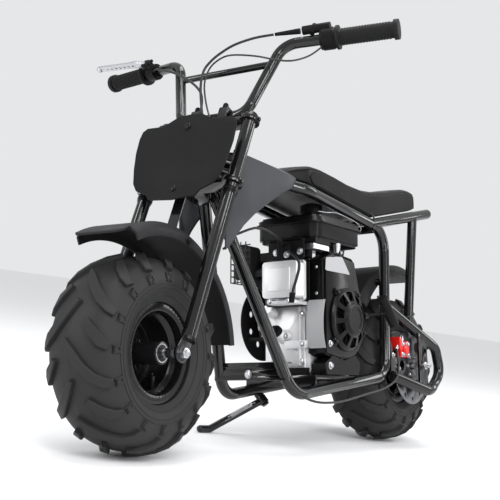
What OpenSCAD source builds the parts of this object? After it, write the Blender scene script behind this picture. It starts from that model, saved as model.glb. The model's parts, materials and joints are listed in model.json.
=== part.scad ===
// Kids dirt bike with balloon tyres, a rigid tube frame and a small four-stroke engine.
// It is parked leaning on its side stand. +X is forward, +Y is the rider's left, +Z is up.
// Each piece is drawn upright, with the rear axle above the origin, and then leaned over.

/* [Wheels] */
// Distance between the axles
wheelbase = 912; // [900:1:930]
// Tyre radius over the lugs
tyre_r = 178; // [172:1:181]
// Tyre section width
tyre_w = 140; // [130:1:141]
// Height of the tread lugs
lug_h = 8; // [4:0.5:9]
// Radius of the tyre's crown across the tread
crown_r = 130; // [110:5:160]
// Radius of the bead seat, half of a six inch rim
bead_r = 76; // [74:0.5:78]
// Radius of the rim's flange
flange_r = 88; // [85:0.5:90]
// Distance between the outer faces of the rim's flanges
rim_w = 106; // [100:1:110]
// Wall of the rim
rim_t = 3; // [2.5:0.5:4]
// Axle radius
axle_r = 6; // [5:0.5:7]
// Running clearance between hub and axle
hub_play = 0.05; // [0.03:0.01:0.1]
// Brake disc radius
disc_r = 92; // [86:1:94]
// Distance of the brake disc from the middle plane
disc_y = 88; // [86:0.5:89]
// Pitch radius of the rear sprocket
sprocket_r = 80; // [76:1:84]
// Pitch radius of the clutch sprocket
pinion_r = 17; // [15:1:20]
// Distance of the chain from the middle plane
chain_y = 105; // [104.5:0.5:107]

/* [Steering] */
// Rake of the steering axis
rake = 23.2; // [20:0.1:26]
// Distance of the fork legs ahead of the steering axis
leg_x = 35; // [30:1:40]
// Distance of the front axle ahead of the steering axis
axle_x = 43; // [40:1:48]
// Drop of the front axle below the lower clamp, along the steering axis
fork_drop = 354; // [345:1:365]
// Distance of each fork leg from the middle plane
leg_y = 100; // [98:1:106]
// Fork leg radius
leg_r = 13; // [11:0.5:15]
// Distance between the two fork clamps
clamp_gap = 144; // [135:1:150]
// Thickness of the fork clamps
clamp_t = 10; // [8:1:14]
// Angle to the left at which the steering rests
steer_rest = 3; // [0:0.5:6]
// Handlebar tube radius
bar_r = 11; // [10:0.5:12.5]
// Distance of the grips' ends from the middle plane
bar_end = 352; // [335:1:370]
// Length of a grip with its flange
grip_len = 118; // [105:1:125]
// Grip radius
grip_r = 16; // [14:0.5:18]
// Width of the number plate
plate_w = 228; // [200:1:240]
// Thickness of the number plate
plate_t = 4; // [3:0.5:6]

/* [Frame] */
// Frame tube radius
tube_r = 12.5; // [11:0.5:13]
// Distance of the main loops from the middle plane
loop_y = 88; // [87:0.5:90]
// Head tube radius
head_r = 21; // [19:0.5:24]
// Distance of the rear loops from the middle plane at the axle
rear_y = 121; // [119:0.5:124]
// Distance of the right rear loop, which stands out to clear the chain
chain_side_y = 126; // [124.5:0.5:130]
// Distance of the seat rails from the middle plane at the back
seat_rail_y = 100; // [96:0.5:104]
// Half length of the rear axle
rear_axle_half = 140; // [137:1:146]
// Half length of the front axle
front_axle_half = 116; // [113:1:122]
// Thickness of the dropout plates
dropout_t = 6; // [5:0.5:8]

/* [Body] */
// Wall of the fenders and the cowl
skin_t = 3.5; // [3:0.5:5]
// Radius of the front fender
front_fender_r = 228; // [215:1:235]
// Radius of the rear fender
rear_fender_r = 250; // [235:1:258]
// Width of the fenders
fender_w = 134; // [120:1:136]
// Width of the seat
seat_w = 190; // [170:1:200]

/* [Engine] */
// Crankshaft distance ahead of the rear axle
crank_x = 345; // [335:1:352]
// Crankshaft height above the ground
crank_z = 268; // [262:1:272]
// Radius of the recoil starter cover
recoil_r = 69; // [64:1:72]
// Length of the fuel tank
tank_l = 205; // [185:1:210]
// Width of the fuel tank
tank_w = 165; // [150:1:175]
// Radius of the round guard over the clutch
clutch_guard_r = 84; // [74:1:90]

/* [Stand] */
// Lean of the parked bike to the right
lean = 10; // [8:0.1:12]
// Length of the side stand's leg
stand_len = 137; // [128:0.5:150]
// Sideways reach of the side stand's foot
stand_out = 72; // [60:1:80]

/* [Cables] */
// Radius of the control cables and the brake hose
cable_r = 2.6; // [2:0.1:3]

/* [Hidden] */
$fn = 48;

// Colours
black_paint = [0.05, 0.05, 0.055];
plastic = [0.16, 0.16, 0.17];
cowl_grey = [0.33, 0.36, 0.40];
rubber = [0.12, 0.12, 0.12];
silver = [0.75, 0.75, 0.76];
steel = [0.55, 0.55, 0.57];
red = [0.8, 0.1, 0.08];

// Small clearance between neighbours that do not touch
gap = 0.3;
// Height of the axles in the drawing; other tyres lift or lower the whole bike
axle_z = 178;
// A tube runs this far into its bends, which are fuller by the second value
bend_lap = 0.6;
bend_swell = 0.05;

// The lean is about the line where the round crowns stand on the floor
lean_drop = crown_r * (1 - cos(lean));
// Steering head: the axis passes through the middle of the lower clamp
head_x = wheelbase - axle_x * cos(rake) - fork_drop * sin(rake);
head_z = axle_z - axle_x * sin(rake) + fork_drop * cos(rake);
// Middle of the bounding box, which goes over the origin
mid_x = wheelbase / 2 - 0.1;
mid_y = -144.3;

function axis_point(s) = [head_x - s * sin(rake), 0, head_z + s * cos(rake)];
function unit(v) = v / norm(v);
function turned(v, k) = [v[0], v[1] * k, v[2]];
function mix(a, b, t) = a + (b - a) * t;

// Main loop of the left side, from the foot of the head tube round to its top
loop_points = [
    axis_point(36) + [-8, 7, 0], [534, loop_y, 105], [136, loop_y, 152],
    [130, loop_y, 495], [470, loop_y, 535], axis_point(82) + [-4, 8, 0]
];
loop_bends = [0, 55, 45, 55, 120, 0];
// Rear loop of the left side, round the wheel's axle
rear_points = [
    [131, loop_y, 316], [-71, rear_y, 224], [-95, rear_y, 163],
    [-35, rear_y, 116], [130, loop_y + 15, 151]
];
rear_bends = [0, 35, 35, 35, 0];
// Rear loop of the right side, drawn on the left: it steps out past the chain
chain_side_points = [
    [131, loop_y, 316], [98, chain_side_y, 301], [-71, chain_side_y, 224], [-95, chain_side_y, 163],
    [-35, chain_side_y, 116], [146, chain_side_y, 139], [184, loop_y, 146]
];
chain_side_bends = [0, 22, 35, 35, 35, 22, 0];
// Seat rail and upright: the upright's foot stands on the rear loop
seat_rail = [[200, loop_y, 501], [-84, seat_rail_y, 567]];
upright_top = [-9, seat_rail_y - 3, 549];
upright_foot = [38, 102, 278];
chain_side_foot = [38, chain_side_y, 278];

/* Placing */

// Leans the bike on its stand and puts the middle of its box over the origin
module parked() {
    translate([-mid_x, -mid_y, lean_drop]) rotate([lean, 0, 0])
        translate([0, 0, tyre_r - axle_z]) children();
}

// Frame of the steering: its axis is Z, with the lower clamp's middle at the origin
module steered() {
    parked() translate([head_x, 0, head_z]) rotate([0, -rake, 0])
        rotate([0, 0, steer_rest]) children();
}

// Frame of the front axle: turned with the steering, X level and forward
module at_front_axle() {
    steered() translate([axle_x, 0, -fork_drop]) rotate([0, rake, 0]) children();
}

module at_rear_axle() {
    parked() translate([0, 0, axle_z]) children();
}

module both_sides() {
    children();
    mirror([0, 1, 0]) children();
}

/* Shapes */

// Round bar from one point to another
module bar(p, q, r, r2 = 0) {
    d = q - p;
    h = norm(d);
    translate(p) rotate([0, acos(d[2] / h), atan2(d[1], d[0])])
        cylinder(h = h, r1 = r, r2 = (r2 > 0) ? r2 : r);
}

// Round tube along points, with a bend of its own radius at each inner point
module tube(points, bends, r) {
    n = len(points);
    reach = [for (i = [0:n - 1]) (i == 0 || i == n - 1) ? 0 :
        bends[i] * tan(acos(unit(points[i] - points[i - 1]) * unit(points[i + 1] - points[i])) / 2)];
    for (i = [0:n - 2]) {
        d = unit(points[i + 1] - points[i]);
        run_in = [i == 0 ? 0 : bend_lap, i == n - 2 ? 0 : bend_lap];
        bar(points[i] + d * (reach[i] - run_in[0]), points[i + 1] - d * (reach[i + 1] - run_in[1]), r);
    }
    for (i = [1:n - 2])
        bend(points[i], unit(points[i] - points[i - 1]), unit(points[i + 1] - points[i]), bends[i], r);
}

// Round bend at a corner, from one direction into another
module bend(corner, d_in, d_out, radius, r) {
    turn = acos(d_in * d_out);
    start = corner - d_in * radius * tan(turn / 2);
    middle = corner + unit(d_out - d_in) * radius / cos(turn / 2);
    x = unit(start - middle);
    z = unit(cross(x, d_in));
    y = cross(z, x);
    multmatrix([
        [x[0], y[0], z[0], middle[0]],
        [x[1], y[1], z[1], middle[1]],
        [x[2], y[2], z[2], middle[2]],
        [0, 0, 0, 1]
    ]) rotate_extrude(angle = turn) translate([radius, 0]) circle(r + bend_swell);
}

// Turns a solid of revolution drawn about Z so that its axis is Y
module about_y() {
    rotate([-90, 0, 0]) children();
}

// Plate that lies in the XZ plane, from one Y to another, with its outline in X and Z
module side_plate(y0, y1) {
    translate([0, y1, 0]) rotate([90, 0, 0]) linear_extrude(y1 - y0) children();
}

// Block between two corners, with its edges along X rounded
module block(low, high, r = 0) {
    size = high - low;
    if (r == 0) translate(low) cube(size);
    else translate(low) rotate([90, 0, 90]) linear_extrude(size[0]) rounded([size[1], size[2]], r);
}

// Rectangle from the origin with round corners
module rounded(size, r) {
    translate([r, 0]) square([size[0] - 2 * r, size[1]]);
    translate([0, r]) square([size[0], size[1] - 2 * r]);
    for (x = [r, size[0] - r], y = [r, size[1] - r]) translate([x, y]) circle(r);
}

// Thin flexible cord along a chosen route, as one swept skin
module cord(route, r, sides = 8) {
    n = len(route);
    way = [for (i = [0:n - 1]) unit(route[min(i + 1, n - 1)] - route[max(i - 1, 0)])];
    side = [for (i = 0, s = unit(cross(way[0], [0.3, 0.5, 1])); i < n;
        i = i + 1, s = (i < n) ? unit(s - way[i] * (s * way[i])) : s) s];
    rings = [for (i = [0:n - 1], k = [0:sides - 1])
        route[i] + r * (cos(360 * k / sides) * side[i] + sin(360 * k / sides) * cross(way[i], side[i]))];
    walls = [for (i = [0:n - 2], k = [0:sides - 1])
        [(i + 1) * sides + k, (i + 1) * sides + (k + 1) % sides, i * sides + (k + 1) % sides, i * sides + k]];
    ends = [[for (k = [0:sides - 1]) k], [for (k = [sides - 1:-1:0]) (n - 1) * sides + k]];
    polyhedron(rings, concat(walls, ends), convexity = 4);
}

// Smooth route through hand-chosen points, with steps between each two
function smooth(p, steps) = concat(
    [for (i = [0:len(p) - 2], k = [0:steps - 1]) curve(p, i, k / steps)], [p[len(p) - 1]]);
function curve(p, i, t) =
    let (a = p[max(i - 1, 0)], b = p[i], c = p[i + 1], d = p[min(i + 2, len(p) - 1)])
    0.5 * ((2 * b) + (c - a) * t + (2 * a - 5 * b + 4 * c - d) * t * t
        + (3 * b - a - 3 * c + d) * t * t * t);

/* Frame */

module loop_solid() {
    tube(loop_points, loop_bends, tube_r);
}

// Head tube with a collar at each end
head_end = clamp_t / 2 + 6;
collar_h = 6;

module head_form() {
    bar(axis_point(head_end), axis_point(clamp_gap - head_end), head_r);
    for (s = [head_end - 5, clamp_gap - head_end - collar_h + 5])
        bar(axis_point(s), axis_point(s + collar_h), head_r + 3);
}

// Boss on each main loop that carries the rear fender's side
fender_boss = [130, 374];

module frame_loop() {
    difference() {
        union() {
            loop_solid();
            bar([fender_boss[0], fender_w / 2 + gap, fender_boss[1]], [fender_boss[0], loop_y, fender_boss[1]], 8);
        }
        head_form();
        translate([600, -100 + gap / 2, 400]) cube([200, 100, 300]);
    }
}

module frame_loop_left() {
    color(black_paint) parked() frame_loop();
}

module frame_loop_right() {
    color(black_paint) parked() mirror([0, 1, 0]) frame_loop();
}

module head_tube() {
    color(black_paint) parked() head_form();
}

// Cross tubes between the loops: X and Z of the middle line, and radius
cross_table = [[225, 143, 9], [180, 492, 9]];

module cross_members() {
    color(black_paint) parked() {
        for (row = cross_table) difference() {
            bar([row[0], -loop_y, row[1]], [row[0], loop_y, row[1]], row[2]);
            both_sides() loop_solid();
        }
        difference() {
            channel();
            both_sides() loop_solid();
        }
    }
}

// Front channel between the downtubes, with two grooves pressed into its face
channel_x = 538;
channel_z = 136;
channel_h = 36;
channel_d = 24;

module channel() {
    side_plate(-loop_y, loop_y) difference() {
        translate([channel_x, channel_z]) square([channel_d, channel_h]);
        translate([channel_x - 1, channel_z + 3]) square([channel_d - 5, channel_h - 6]);
        for (z = [10, 22]) translate([channel_x + channel_d - 1.5, channel_z + z]) square([2, 4]);
    }
}

module seat_rails(foot) {
    bar(seat_rail[0], seat_rail[1], tube_r);
    translate(seat_rail[1]) sphere(tube_r + bend_swell);
    bar(upright_top, foot, tube_r - 1);
}

module seat_frame() {
    color(black_paint) parked() {
        difference() {
            seat_rails(upright_foot);
            loop_solid();
            tube(rear_points, rear_bends, tube_r);
        }
        mirror([0, 1, 0]) difference() {
            seat_rails(chain_side_foot);
            loop_solid();
            tube(chain_side_points, chain_side_bends, tube_r);
        }
        difference() {
            bar([-30, -seat_rail_y, 551], [-30, seat_rail_y, 551], 8);
            seat_rails(upright_foot);
            mirror([0, 1, 0]) seat_rails(chain_side_foot);
        }
    }
}

// Upright plate that carries the rear axle, and the gusset at the bottom corner
module rear_loop(points, bends, out) {
    plate_y = out - 7;
    difference() {
        union() {
            tube(points, bends, tube_r);
            side_plate(plate_y, plate_y + dropout_t) dropout_outline();
            side_plate(loop_y + 8, loop_y + 12) polygon([[128, 158], [128, 232], [92, 158], [84, 140]]);
        }
        loop_solid();
        translate([0, plate_y - 1, axle_z]) about_y() cylinder(h = dropout_t + 2, r = axle_r + 0.05);
    }
}

module dropout_outline() {
    difference() {
        polygon([[-30, 120], [14, 130], [20, 256], [-24, 240]]);
        translate([-14, 214]) circle(6);
    }
}

module rear_loop_left() {
    color(black_paint) parked() rear_loop(rear_points, rear_bends, rear_y);
}

module rear_loop_right() {
    color(black_paint) parked() mirror([0, 1, 0])
        rear_loop(chain_side_points, chain_side_bends, chain_side_y);
}

// Engine plate, laid on the bottom rails
plate_x = 262;
plate_len = 186;
plate_z = 142;
mount_t = 6;

module engine_plate() {
    color(black_paint) parked() difference() {
        union() {
            translate([plate_x, -loop_y, plate_z]) cube([plate_len, 2 * loop_y, mount_t]);
            for (x = [plate_x, plate_x + plate_len - mount_t])
                translate([x, -loop_y, plate_z - 18]) cube([mount_t, 2 * loop_y, 20]);
        }
        both_sides() loop_solid();
        for (x = [plate_x + 40, plate_x + plate_len - 40], y = [-30, 30])
            translate([x, y, plate_z - 1]) cylinder(h = mount_t + 2, r = 4.5);
    }
}

/* Engine */

case_low = [250, -52, plate_z + mount_t];
case_high = [425, 62, 330];

module crankcase() {
    color(silver) parked() union() {
        block(case_low, case_high, 14);
        translate([crank_x, -78, crank_z]) about_y() cylinder(h = 60, r = 46);
        bar([420, -8, 226], [446, -8, 240], 12);
        block([426, 0, 205], [431, 60, 222], 4);
    }
}

// Cylinder with its cooling fins: X of the first fin, and the step to the next
fin_first = 427;
fin_step = 7;
fin_count = 4;

module cylinder_block() {
    block([425 + gap, -20, 300], [458, 61, 392], 10);
    for (i = [0:fin_count - 1])
        block([fin_first + i * fin_step, -36, 294], [fin_first + i * fin_step + 3, 61.5, 398], 12);
}

module cylinder_node() {
    color(plastic) parked() cylinder_block();
}

module valve_cover() {
    color(silver) parked() {
        block([458 + gap, -15, 309], [492, 70, 386], 8);
        block([458 + gap, -19, 303], [463, 74, 390], 8);
    }
}

// Fan housing: a round volute whose front rises to the cylinder
module shroud_outline(grow) {
    difference() {
        union() {
            translate([crank_x, crank_z]) circle(r = 88 + grow);
            polygon([
                [crank_x + 20, crank_z - 88 - grow], [crank_x + 88 + grow, crank_z - 74],
                [crank_x + 88 + grow, 392 + grow], [crank_x + 40, 410 + grow],
                [crank_x - 40, 404 + grow], [crank_x - 88 - grow, crank_z]
            ]);
        }
        translate([crank_x - 150, 0]) square([320, plate_z + 30]);
    }
}

module fan_shroud() {
    color(black_paint) parked() {
        side_plate(case_high[1] + gap, 98) shroud_outline(0);
        side_plate(98, 104) shroud_outline(-6);
    }
}

// Recoil starter: a shallow dish with ribs, its hub and the rope guide
rope_angle = 10;
module recoil_cover() {
    color(black_paint) parked() translate([crank_x, 104, crank_z]) about_y() {
        rotate_extrude() polygon([
            [0, 0], [recoil_r, 0], [recoil_r, 6], [recoil_r - 6, 14], [34, 22], [30, 26], [0, 26]
        ]);
        for (a = [0:45:315]) rotate([0, 0, a]) translate([32, -3, 10]) cube([28, 6, 10]);
        rotate([0, 0, 180 + rope_angle]) translate([recoil_r - 12, -8, 0]) cube([24, 16, 16]);
    }
}

module recoil_handle() {
    color(plastic) parked() {
        bar([232, 134, 322], [176, 134, 268], 12);
        bar([crank_x - (recoil_r + 13.2) * cos(rope_angle), 112, crank_z + (recoil_r + 13.2) * sin(rope_angle)],
            [210, 134, 292], 3);
    }
}

// Fuel tank: tub, seam lip and lid
tank_x = 250;
tank_y = -65;
tank_lip_z = 471;

module tank_body(inset, z0, z1, r) {
    translate([tank_x + inset, tank_y + inset, z0])
        linear_extrude(z1 - z0) rounded([tank_l - 2 * inset, tank_w - 2 * inset], r);
}

module fuel_tank() {
    color(black_paint) parked() {
        tank_body(9, 435, 441, 20);
        tank_body(4, 441, tank_lip_z, 24);
        tank_body(-3, tank_lip_z, tank_lip_z + 4, 28);
        tank_body(2, tank_lip_z + 4, 484, 26);
        tank_body(9, 484, 490, 22);
        translate([390, 46, 488]) cylinder(h = 12, r = 17);
    }
}

module fuel_cap() {
    color(plastic) parked() translate([390, 46, 500 + gap]) {
        cylinder(h = 19, r = 22);
        cylinder(h = 22, r = 16);
        for (a = [0:15:345]) rotate([0, 0, a]) translate([21, -1.5, 2]) cube([3, 3, 16]);
    }
}

// Carburettor between cylinder and air filter, below the tank
module intake() {
    color(plastic) parked() {
        block([384, -96, 346], [424, -40, 400], 10);
        block([270, -112, 338], [372, -42, 428], 14);
        bar([372 - 2, -70, 372], [386, -70, 372], 16);
        block([400, -20, 400], [424, 54, 433], 4);
        block([300, -43, case_high[2] + gap], [400, 50, 400], 6);
        block([300, 20, 400], [330, 54, 434], 4);
    }
}

muffler_low = [430, -104, 356];
muffler_high = [472, -62, 432];

module muffler() {
    color(black_paint) parked() {
        block(muffler_low, muffler_high, 12);
        bar([446, -64, 372], [446, -36.5, 372], 9);
    }
}

// Wire guard round the muffler
module muffler_guard() {
    color(black_paint) parked() {
        wire = 2;
        out = 6;
        low = muffler_low - [out, out, out];
        high = muffler_high + [out, out, out];
        for (z = [low[2]:13.6:high[2] + 1]) {
            block([low[0], low[1], z - wire / 2], [high[0], low[1] + wire, z + wire / 2]);
            block([high[0] - wire, low[1], z - wire / 2], [high[0], high[1], z + wire / 2]);
        }
        for (x = [low[0]:13:high[0] - 1])
            block([x, low[1], low[2] - wire / 2], [x + wire, low[1] + wire, high[2] + wire / 2]);
        for (y = [low[1]:13.4:high[1] - 1])
            block([high[0] - wire, y, low[2] - wire / 2], [high[0], y + wire, high[2] + wire / 2]);
        for (z = [1, 5])
            bar([low[0] + 27, low[1] + 1, low[2] + z * 13.6], [low[0] + 27, muffler_low[1] - gap, low[2] + z * 13.6], 3);
    }
}

/* Drive */

module clutch() {
    drum = chain_y - chain_w / 2 - 1;
    color(steel) parked() translate([crank_x, 0, crank_z]) rotate([90, 0, 0]) {
        translate([0, 0, 78 + gap]) cylinder(h = 4, r = 20);
        translate([0, 0, 80]) cylinder(h = drum - 80, r = 42);
        translate([0, 0, drum - 1]) cylinder(h = chain_w + 3, r = pinion_r - chain_half - gap);
    }
}

// Pitch line of the chain: round the sprocket, along the runs and round the pinion
pitch = 9.525;
run_d = norm([crank_x, crank_z - axle_z]);
run_tilt = atan2(crank_z - axle_z, crank_x);
wrap = acos((sprocket_r - pinion_r) / run_d);
run_len = run_d * sin(wrap);
big_arc = sprocket_r * (360 - 2 * wrap) * PI / 180;
small_arc = pinion_r * 2 * wrap * PI / 180;
links = round((2 * run_len + big_arc + small_arc) / pitch);
loop_len = 2 * run_len + big_arc + small_arc;

// Point of the pitch line after a length, moved outwards by a distance
function on_loop(s, out) =
    s < big_arc ? (sprocket_r + out) * dir(wrap + s / sprocket_r * 180 / PI)
    : s < big_arc + run_len ?
        mix((sprocket_r + out) * dir(-wrap), [run_d, 0] + (pinion_r + out) * dir(-wrap), (s - big_arc) / run_len)
    : s < big_arc + run_len + small_arc ?
        [run_d, 0] + (pinion_r + out) * dir(-wrap + (s - big_arc - run_len) / pinion_r * 180 / PI)
    : mix([run_d, 0] + (pinion_r + out) * dir(wrap), (sprocket_r + out) * dir(wrap),
        (s - big_arc - run_len - small_arc) / run_len);
function dir(a) = [cos(a), sin(a)];

chain_half = 4.5;
chain_w = 7;

// The waist of each link is narrower than its ends, which lie at the pins
module chain_outline(side) {
    polygon([for (i = [0:2 * links - 1])
        on_loop(i * loop_len / links / 2, side * (chain_half - (i % 2) * 1.4))]);
}

module drive_chain() {
    color(steel) parked() side_plate(-chain_y - chain_w / 2, -chain_y + chain_w / 2)
        translate([0, axle_z]) rotate(run_tilt) difference() {
            chain_outline(1);
            chain_outline(-1);
        }
}

// Guard outside the chain, on two posts that stand on the crankcase
guard_y = -117;
guard_t = 3;
guard_posts = [[285, 320], [402, 230]];

module chain_guard() {
    color(black_paint) parked() {
        side_plate(guard_y, guard_y + guard_t) difference() {
            union() {
                translate([crank_x, crank_z]) circle(clutch_guard_r);
                polygon([[crank_x, crank_z + clutch_guard_r], [150, 326], [150, 262], [crank_x, crank_z - 10]]);
            }
            for (a = [22.5:45:337.5])
                translate([crank_x, crank_z] + 0.6 * clutch_guard_r * [cos(a), sin(a)]) circle(7);
        }
        for (p = guard_posts)
            bar([p[0], guard_y + 1, p[1]], [p[0], case_low[1] - gap, p[1]], 5);
    }
}

/* Bodywork */

// Side outline of the cowl in X and Z, drawn past its top, which the vault trims
cowl_outline = [
    [529, 640], [690, 640], [722, 470], [724, 380], [712, 390], [697, 409], [676, 433], [649, 457],
    [616, 481], [570, 512], [540, 528], [529, 549]
];
cowl_rear = [529, 92];
cowl_front = [724, 54];
// The cowl's top is part of a round roof: its radius, and its ridge's height at both ends
roof_r = 148;
roof_ridge = [584, 592];

module cowl_roof(r) {
    rise = (roof_ridge[1] - roof_ridge[0]) / 161;
    bar([509, 0, roof_ridge[0] - roof_r - 20 * rise], [740, 0, roof_ridge[1] - roof_r + 50 * rise], r);
}

// Turns a solid drawn along the middle so that it lies in the plane of a side panel
module cowl_side(out) {
    swing = atan2(cowl_front[1] - cowl_rear[1], cowl_front[0] - cowl_rear[0]);
    translate([cowl_rear[0], cowl_rear[1], 0]) rotate([0, 0, swing]) translate([-cowl_rear[0], out, 0]) children();
}

module cowl_panel() {
    intersection() {
        cowl_side(0) side_plate(0, skin_t) polygon(cowl_outline);
        cowl_roof(roof_r);
    }
}

module cowl_top() {
    difference() {
        intersection() {
            cowl_roof(roof_r - 0.05);
            side_plate(-120, 120) polygon([[529, 500], [656, 500], [656, 640], [529, 640]]);
        }
        cowl_roof(roof_r - skin_t);
        both_sides() cowl_side(skin_t - 0.5) translate([400, 0, 400]) cube([400, 100, 300]);
    }
}

module cowl() {
    color(cowl_grey) parked() {
        both_sides() cowl_panel();
        cowl_top();
    }
}

// Seat: side outline cut to the plan outline
seat_side = [
    [524, 556], [470, 548.3], [430, 543.4], [210, 517.5], [190, 516.8], [-40, 570.1],
    [-58, 586], [-56, 606], [-20, 622], [20, 620], [110, 600], [180, 585], [235, 579], [334, 587],
    [453, 596], [500, 586], [524, 572]
];
seat_plan = [[-60, 60], [-52, 84], [-30, 95], [420, 95], [470, 90], [524, 62]];

module seat() {
    color(plastic) parked() intersection() {
        side_plate(-seat_w / 2, seat_w / 2) polygon(seat_side);
        translate([0, 0, 400]) linear_extrude(300)
            polygon(concat(
                [for (p = seat_plan) [p[0], p[1] * seat_w / 190]],
                [for (i = [len(seat_plan) - 1:-1:0]) [seat_plan[i][0], -seat_plan[i][1] * seat_w / 190]]));
    }
}

// Sheet fender: an arc with turned-down sides, from one angle to another above level
module fender_arc(r, from, to) {
    drop = 26;
    slope = 12;
    rotate([90, 0, 0]) rotate([0, 0, from]) rotate_extrude(angle = to - from, $fn = 96)
        polygon([
            [r, -fender_w / 2 + slope], [r, fender_w / 2 - slope], [r - slope, fender_w / 2],
            [r - drop, fender_w / 2], [r - drop, fender_w / 2 - skin_t],
            [r - slope - 1, fender_w / 2 - skin_t], [r - skin_t, fender_w / 2 - slope - 1.5],
            [r - skin_t, -fender_w / 2 + slope + 1.5], [r - slope - 1, -fender_w / 2 + skin_t],
            [r - drop, -fender_w / 2 + skin_t], [r - drop, -fender_w / 2], [r - slope, -fender_w / 2]
        ]);
}

module front_fender() {
    color(plastic) at_front_axle() {
        fender_arc(front_fender_r, 66, 174);
        rotate([0, -66, 0]) beak(front_fender_r, -1, 24, fender_w / 2 - 13, 44);
    }
}

// Flat beak that runs on from the end of an arc, which it laps; way is 1 towards a higher angle
module beak(r, way, length, half, tip_half) {
    translate([r - skin_t - bend_swell, 0, 0]) rotate([0, 90, 0]) linear_extrude(skin_t + 2 * bend_swell)
        polygon([
            [way, -half], [way, half], [-way * length * 0.6, half],
            [-way * length, tip_half], [-way * length, -tip_half], [-way * length * 0.6, -half]
        ]);
}

module rear_fender() {
    color(plastic) at_rear_axle() {
        fender_arc(rear_fender_r, 36, 108);
        rotate([0, -108, 0]) beak(rear_fender_r, 1, 44, fender_w / 2 - 13, 40);
    }
}

/* Wheels */

// Section of a tyre of a given outer radius, from bead to bead
module tyre_section(top) {
    depth = top - flange_r;
    half = concat(
        [for (y = [0, 30, 50]) [top - crown_r + sqrt(crown_r * crown_r - y * y), y]],
        [
            [top - 0.24 * depth, tyre_w / 2 - 7], [top - 0.38 * depth, tyre_w / 2 - 2],
            [top - 0.53 * depth, tyre_w / 2], [top - 0.71 * depth, tyre_w / 2 - 2],
            [top - 0.84 * depth, tyre_w / 2 - 9], [flange_r + gap, rim_w / 2 + 3],
            [flange_r + gap, rim_w / 2 - rim_t - gap], [bead_r + gap, rim_w / 2 - rim_t - gap],
            [bead_r + gap, rim_w / 2 - 20]
        ]);
    polygon(concat(half, [for (i = [len(half) - 1:-1:1]) [half[i][0], -half[i][1]]]));
}

// The tread's main bars stand at a slant, and those of one side lie between those of the other
tread_pitches = 16;
bar_slant = 22;
bar_middle = 33;
bar_half_length = 42;
bar_half_width = 6.5;

// Bars of one side, as blocks that reach from deep in the carcass out past the tread
module tread_bars() {
    for (i = [0:tread_pitches - 1])
        rotate([0, 0, i * 360 / tread_pitches]) translate([0, 0, bar_middle]) rotate([bar_slant, 0, 0])
            translate([tyre_r / 2, -bar_half_width, -bar_half_length])
                cube([tyre_r, 2 * bar_half_width, 2 * bar_half_length]);
}

module tyre() {
    about_y() {
        rotate_extrude($fn = 36) tyre_section(tyre_r - lug_h);
        intersection() {
            rotate_extrude($fn = 36) tyre_section(tyre_r);
            union() {
                rotate([0, 0, 180 / tread_pitches]) tread_bars();
                mirror([0, 0, 1]) tread_bars();
            }
        }
    }
}

module front_tyre() {
    color(rubber) at_front_axle() tyre();
}

module rear_tyre() {
    color(rubber) at_rear_axle() tyre();
}

// Steel rim: barrel, flanges, domed disc and hub, with the disc off the middle
module rim(disc_at, hub_half, hub_r) {
    half = rim_w / 2;
    well = bead_r - 8;
    about_y() {
        rotate_extrude($fn = 96) polygon([
            [flange_r, -half], [flange_r, rim_t - half], [bead_r, rim_t - half], [bead_r, 18 - half],
            [well, 26 - half], [well, half - 26], [bead_r, half - 18], [bead_r, half - rim_t],
            [flange_r, half - rim_t], [flange_r, half], [bead_r - rim_t, half],
            [bead_r - rim_t, half - 18], [well - rim_t, half - 26], [well - rim_t, 26 - half],
            [bead_r - rim_t, 18 - half], [bead_r - rim_t, -half]
        ]);
        rotate_extrude($fn = 96) polygon([
            [hub_r - 2, disc_at + 8], [hub_r - 2, disc_at + 8 - rim_t], [39, disc_at + 8 - rim_t],
            [57, disc_at - rim_t], [well - 1, disc_at - rim_t], [well - 1, disc_at],
            [58, disc_at], [40, disc_at + 8]
        ]);
        rotate_extrude() translate([axle_r + hub_play, -hub_half])
            square([hub_r - axle_r - hub_play, 2 * hub_half]);
    }
}

nut_h = 9;
front_hub_half = 60;
rear_hub_half = 82;

module front_rim() {
    color(black_paint) at_front_axle() rim(-18, front_hub_half, 20);
}

module rear_rim() {
    color(black_paint) at_rear_axle() rim(-18, rear_hub_half, 22);
}

module brake_disc() {
    color(steel) at_rear_axle() translate([0, disc_y, 0]) about_y() {
        difference() {
            cylinder(h = 3, r = disc_r, $fn = 96);
            translate([0, 0, -1]) cylinder(h = 5, r = axle_r + hub_play);
            for (a = [0:30:330]) rotate([0, 0, a]) translate([78, 0, -1]) cylinder(h = 5, r = 4);
            for (a = [0:60:300]) rotate([0, 0, a]) translate([52, 0, -1]) cylinder(h = 5, r = 13);
        }
        translate([0, 0, rear_hub_half - disc_y]) difference() {
            cylinder(h = disc_y - rear_hub_half, r = 30);
            translate([0, 0, -1]) cylinder(h = disc_y - rear_hub_half + 2, r = axle_r + hub_play);
        }
    }
}

// Rear sprocket, its teeth just inside the chain
module rear_sprocket() {
    color(steel) at_rear_axle() translate([0, -chain_y, 0]) about_y() difference() {
        union() {
            translate([0, 0, -1.5]) cylinder(h = 3, r = sprocket_r - chain_half - gap, $fn = 96);
            cylinder(h = chain_y - rear_hub_half, r = 30);
        }
        translate([0, 0, -10]) cylinder(h = 40, r = axle_r + hub_play);
        for (a = [0:60:300]) rotate([0, 0, a]) translate([52, 0, -5]) cylinder(h = 12, r = 13);
    }
}

module axle(half, nut_left, nut_right) {
    about_y() {
        translate([0, 0, -half]) cylinder(h = 2 * half, r = axle_r);
        translate([0, 0, nut_left]) cylinder(h = nut_h, r = 10, $fn = 6);
        translate([0, 0, -nut_right - nut_h]) cylinder(h = nut_h, r = 10, $fn = 6);
    }
}

module spacer(from, to) {
    translate([0, from, 0]) about_y() cylinder(h = to - from, r = 9);
}

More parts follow.
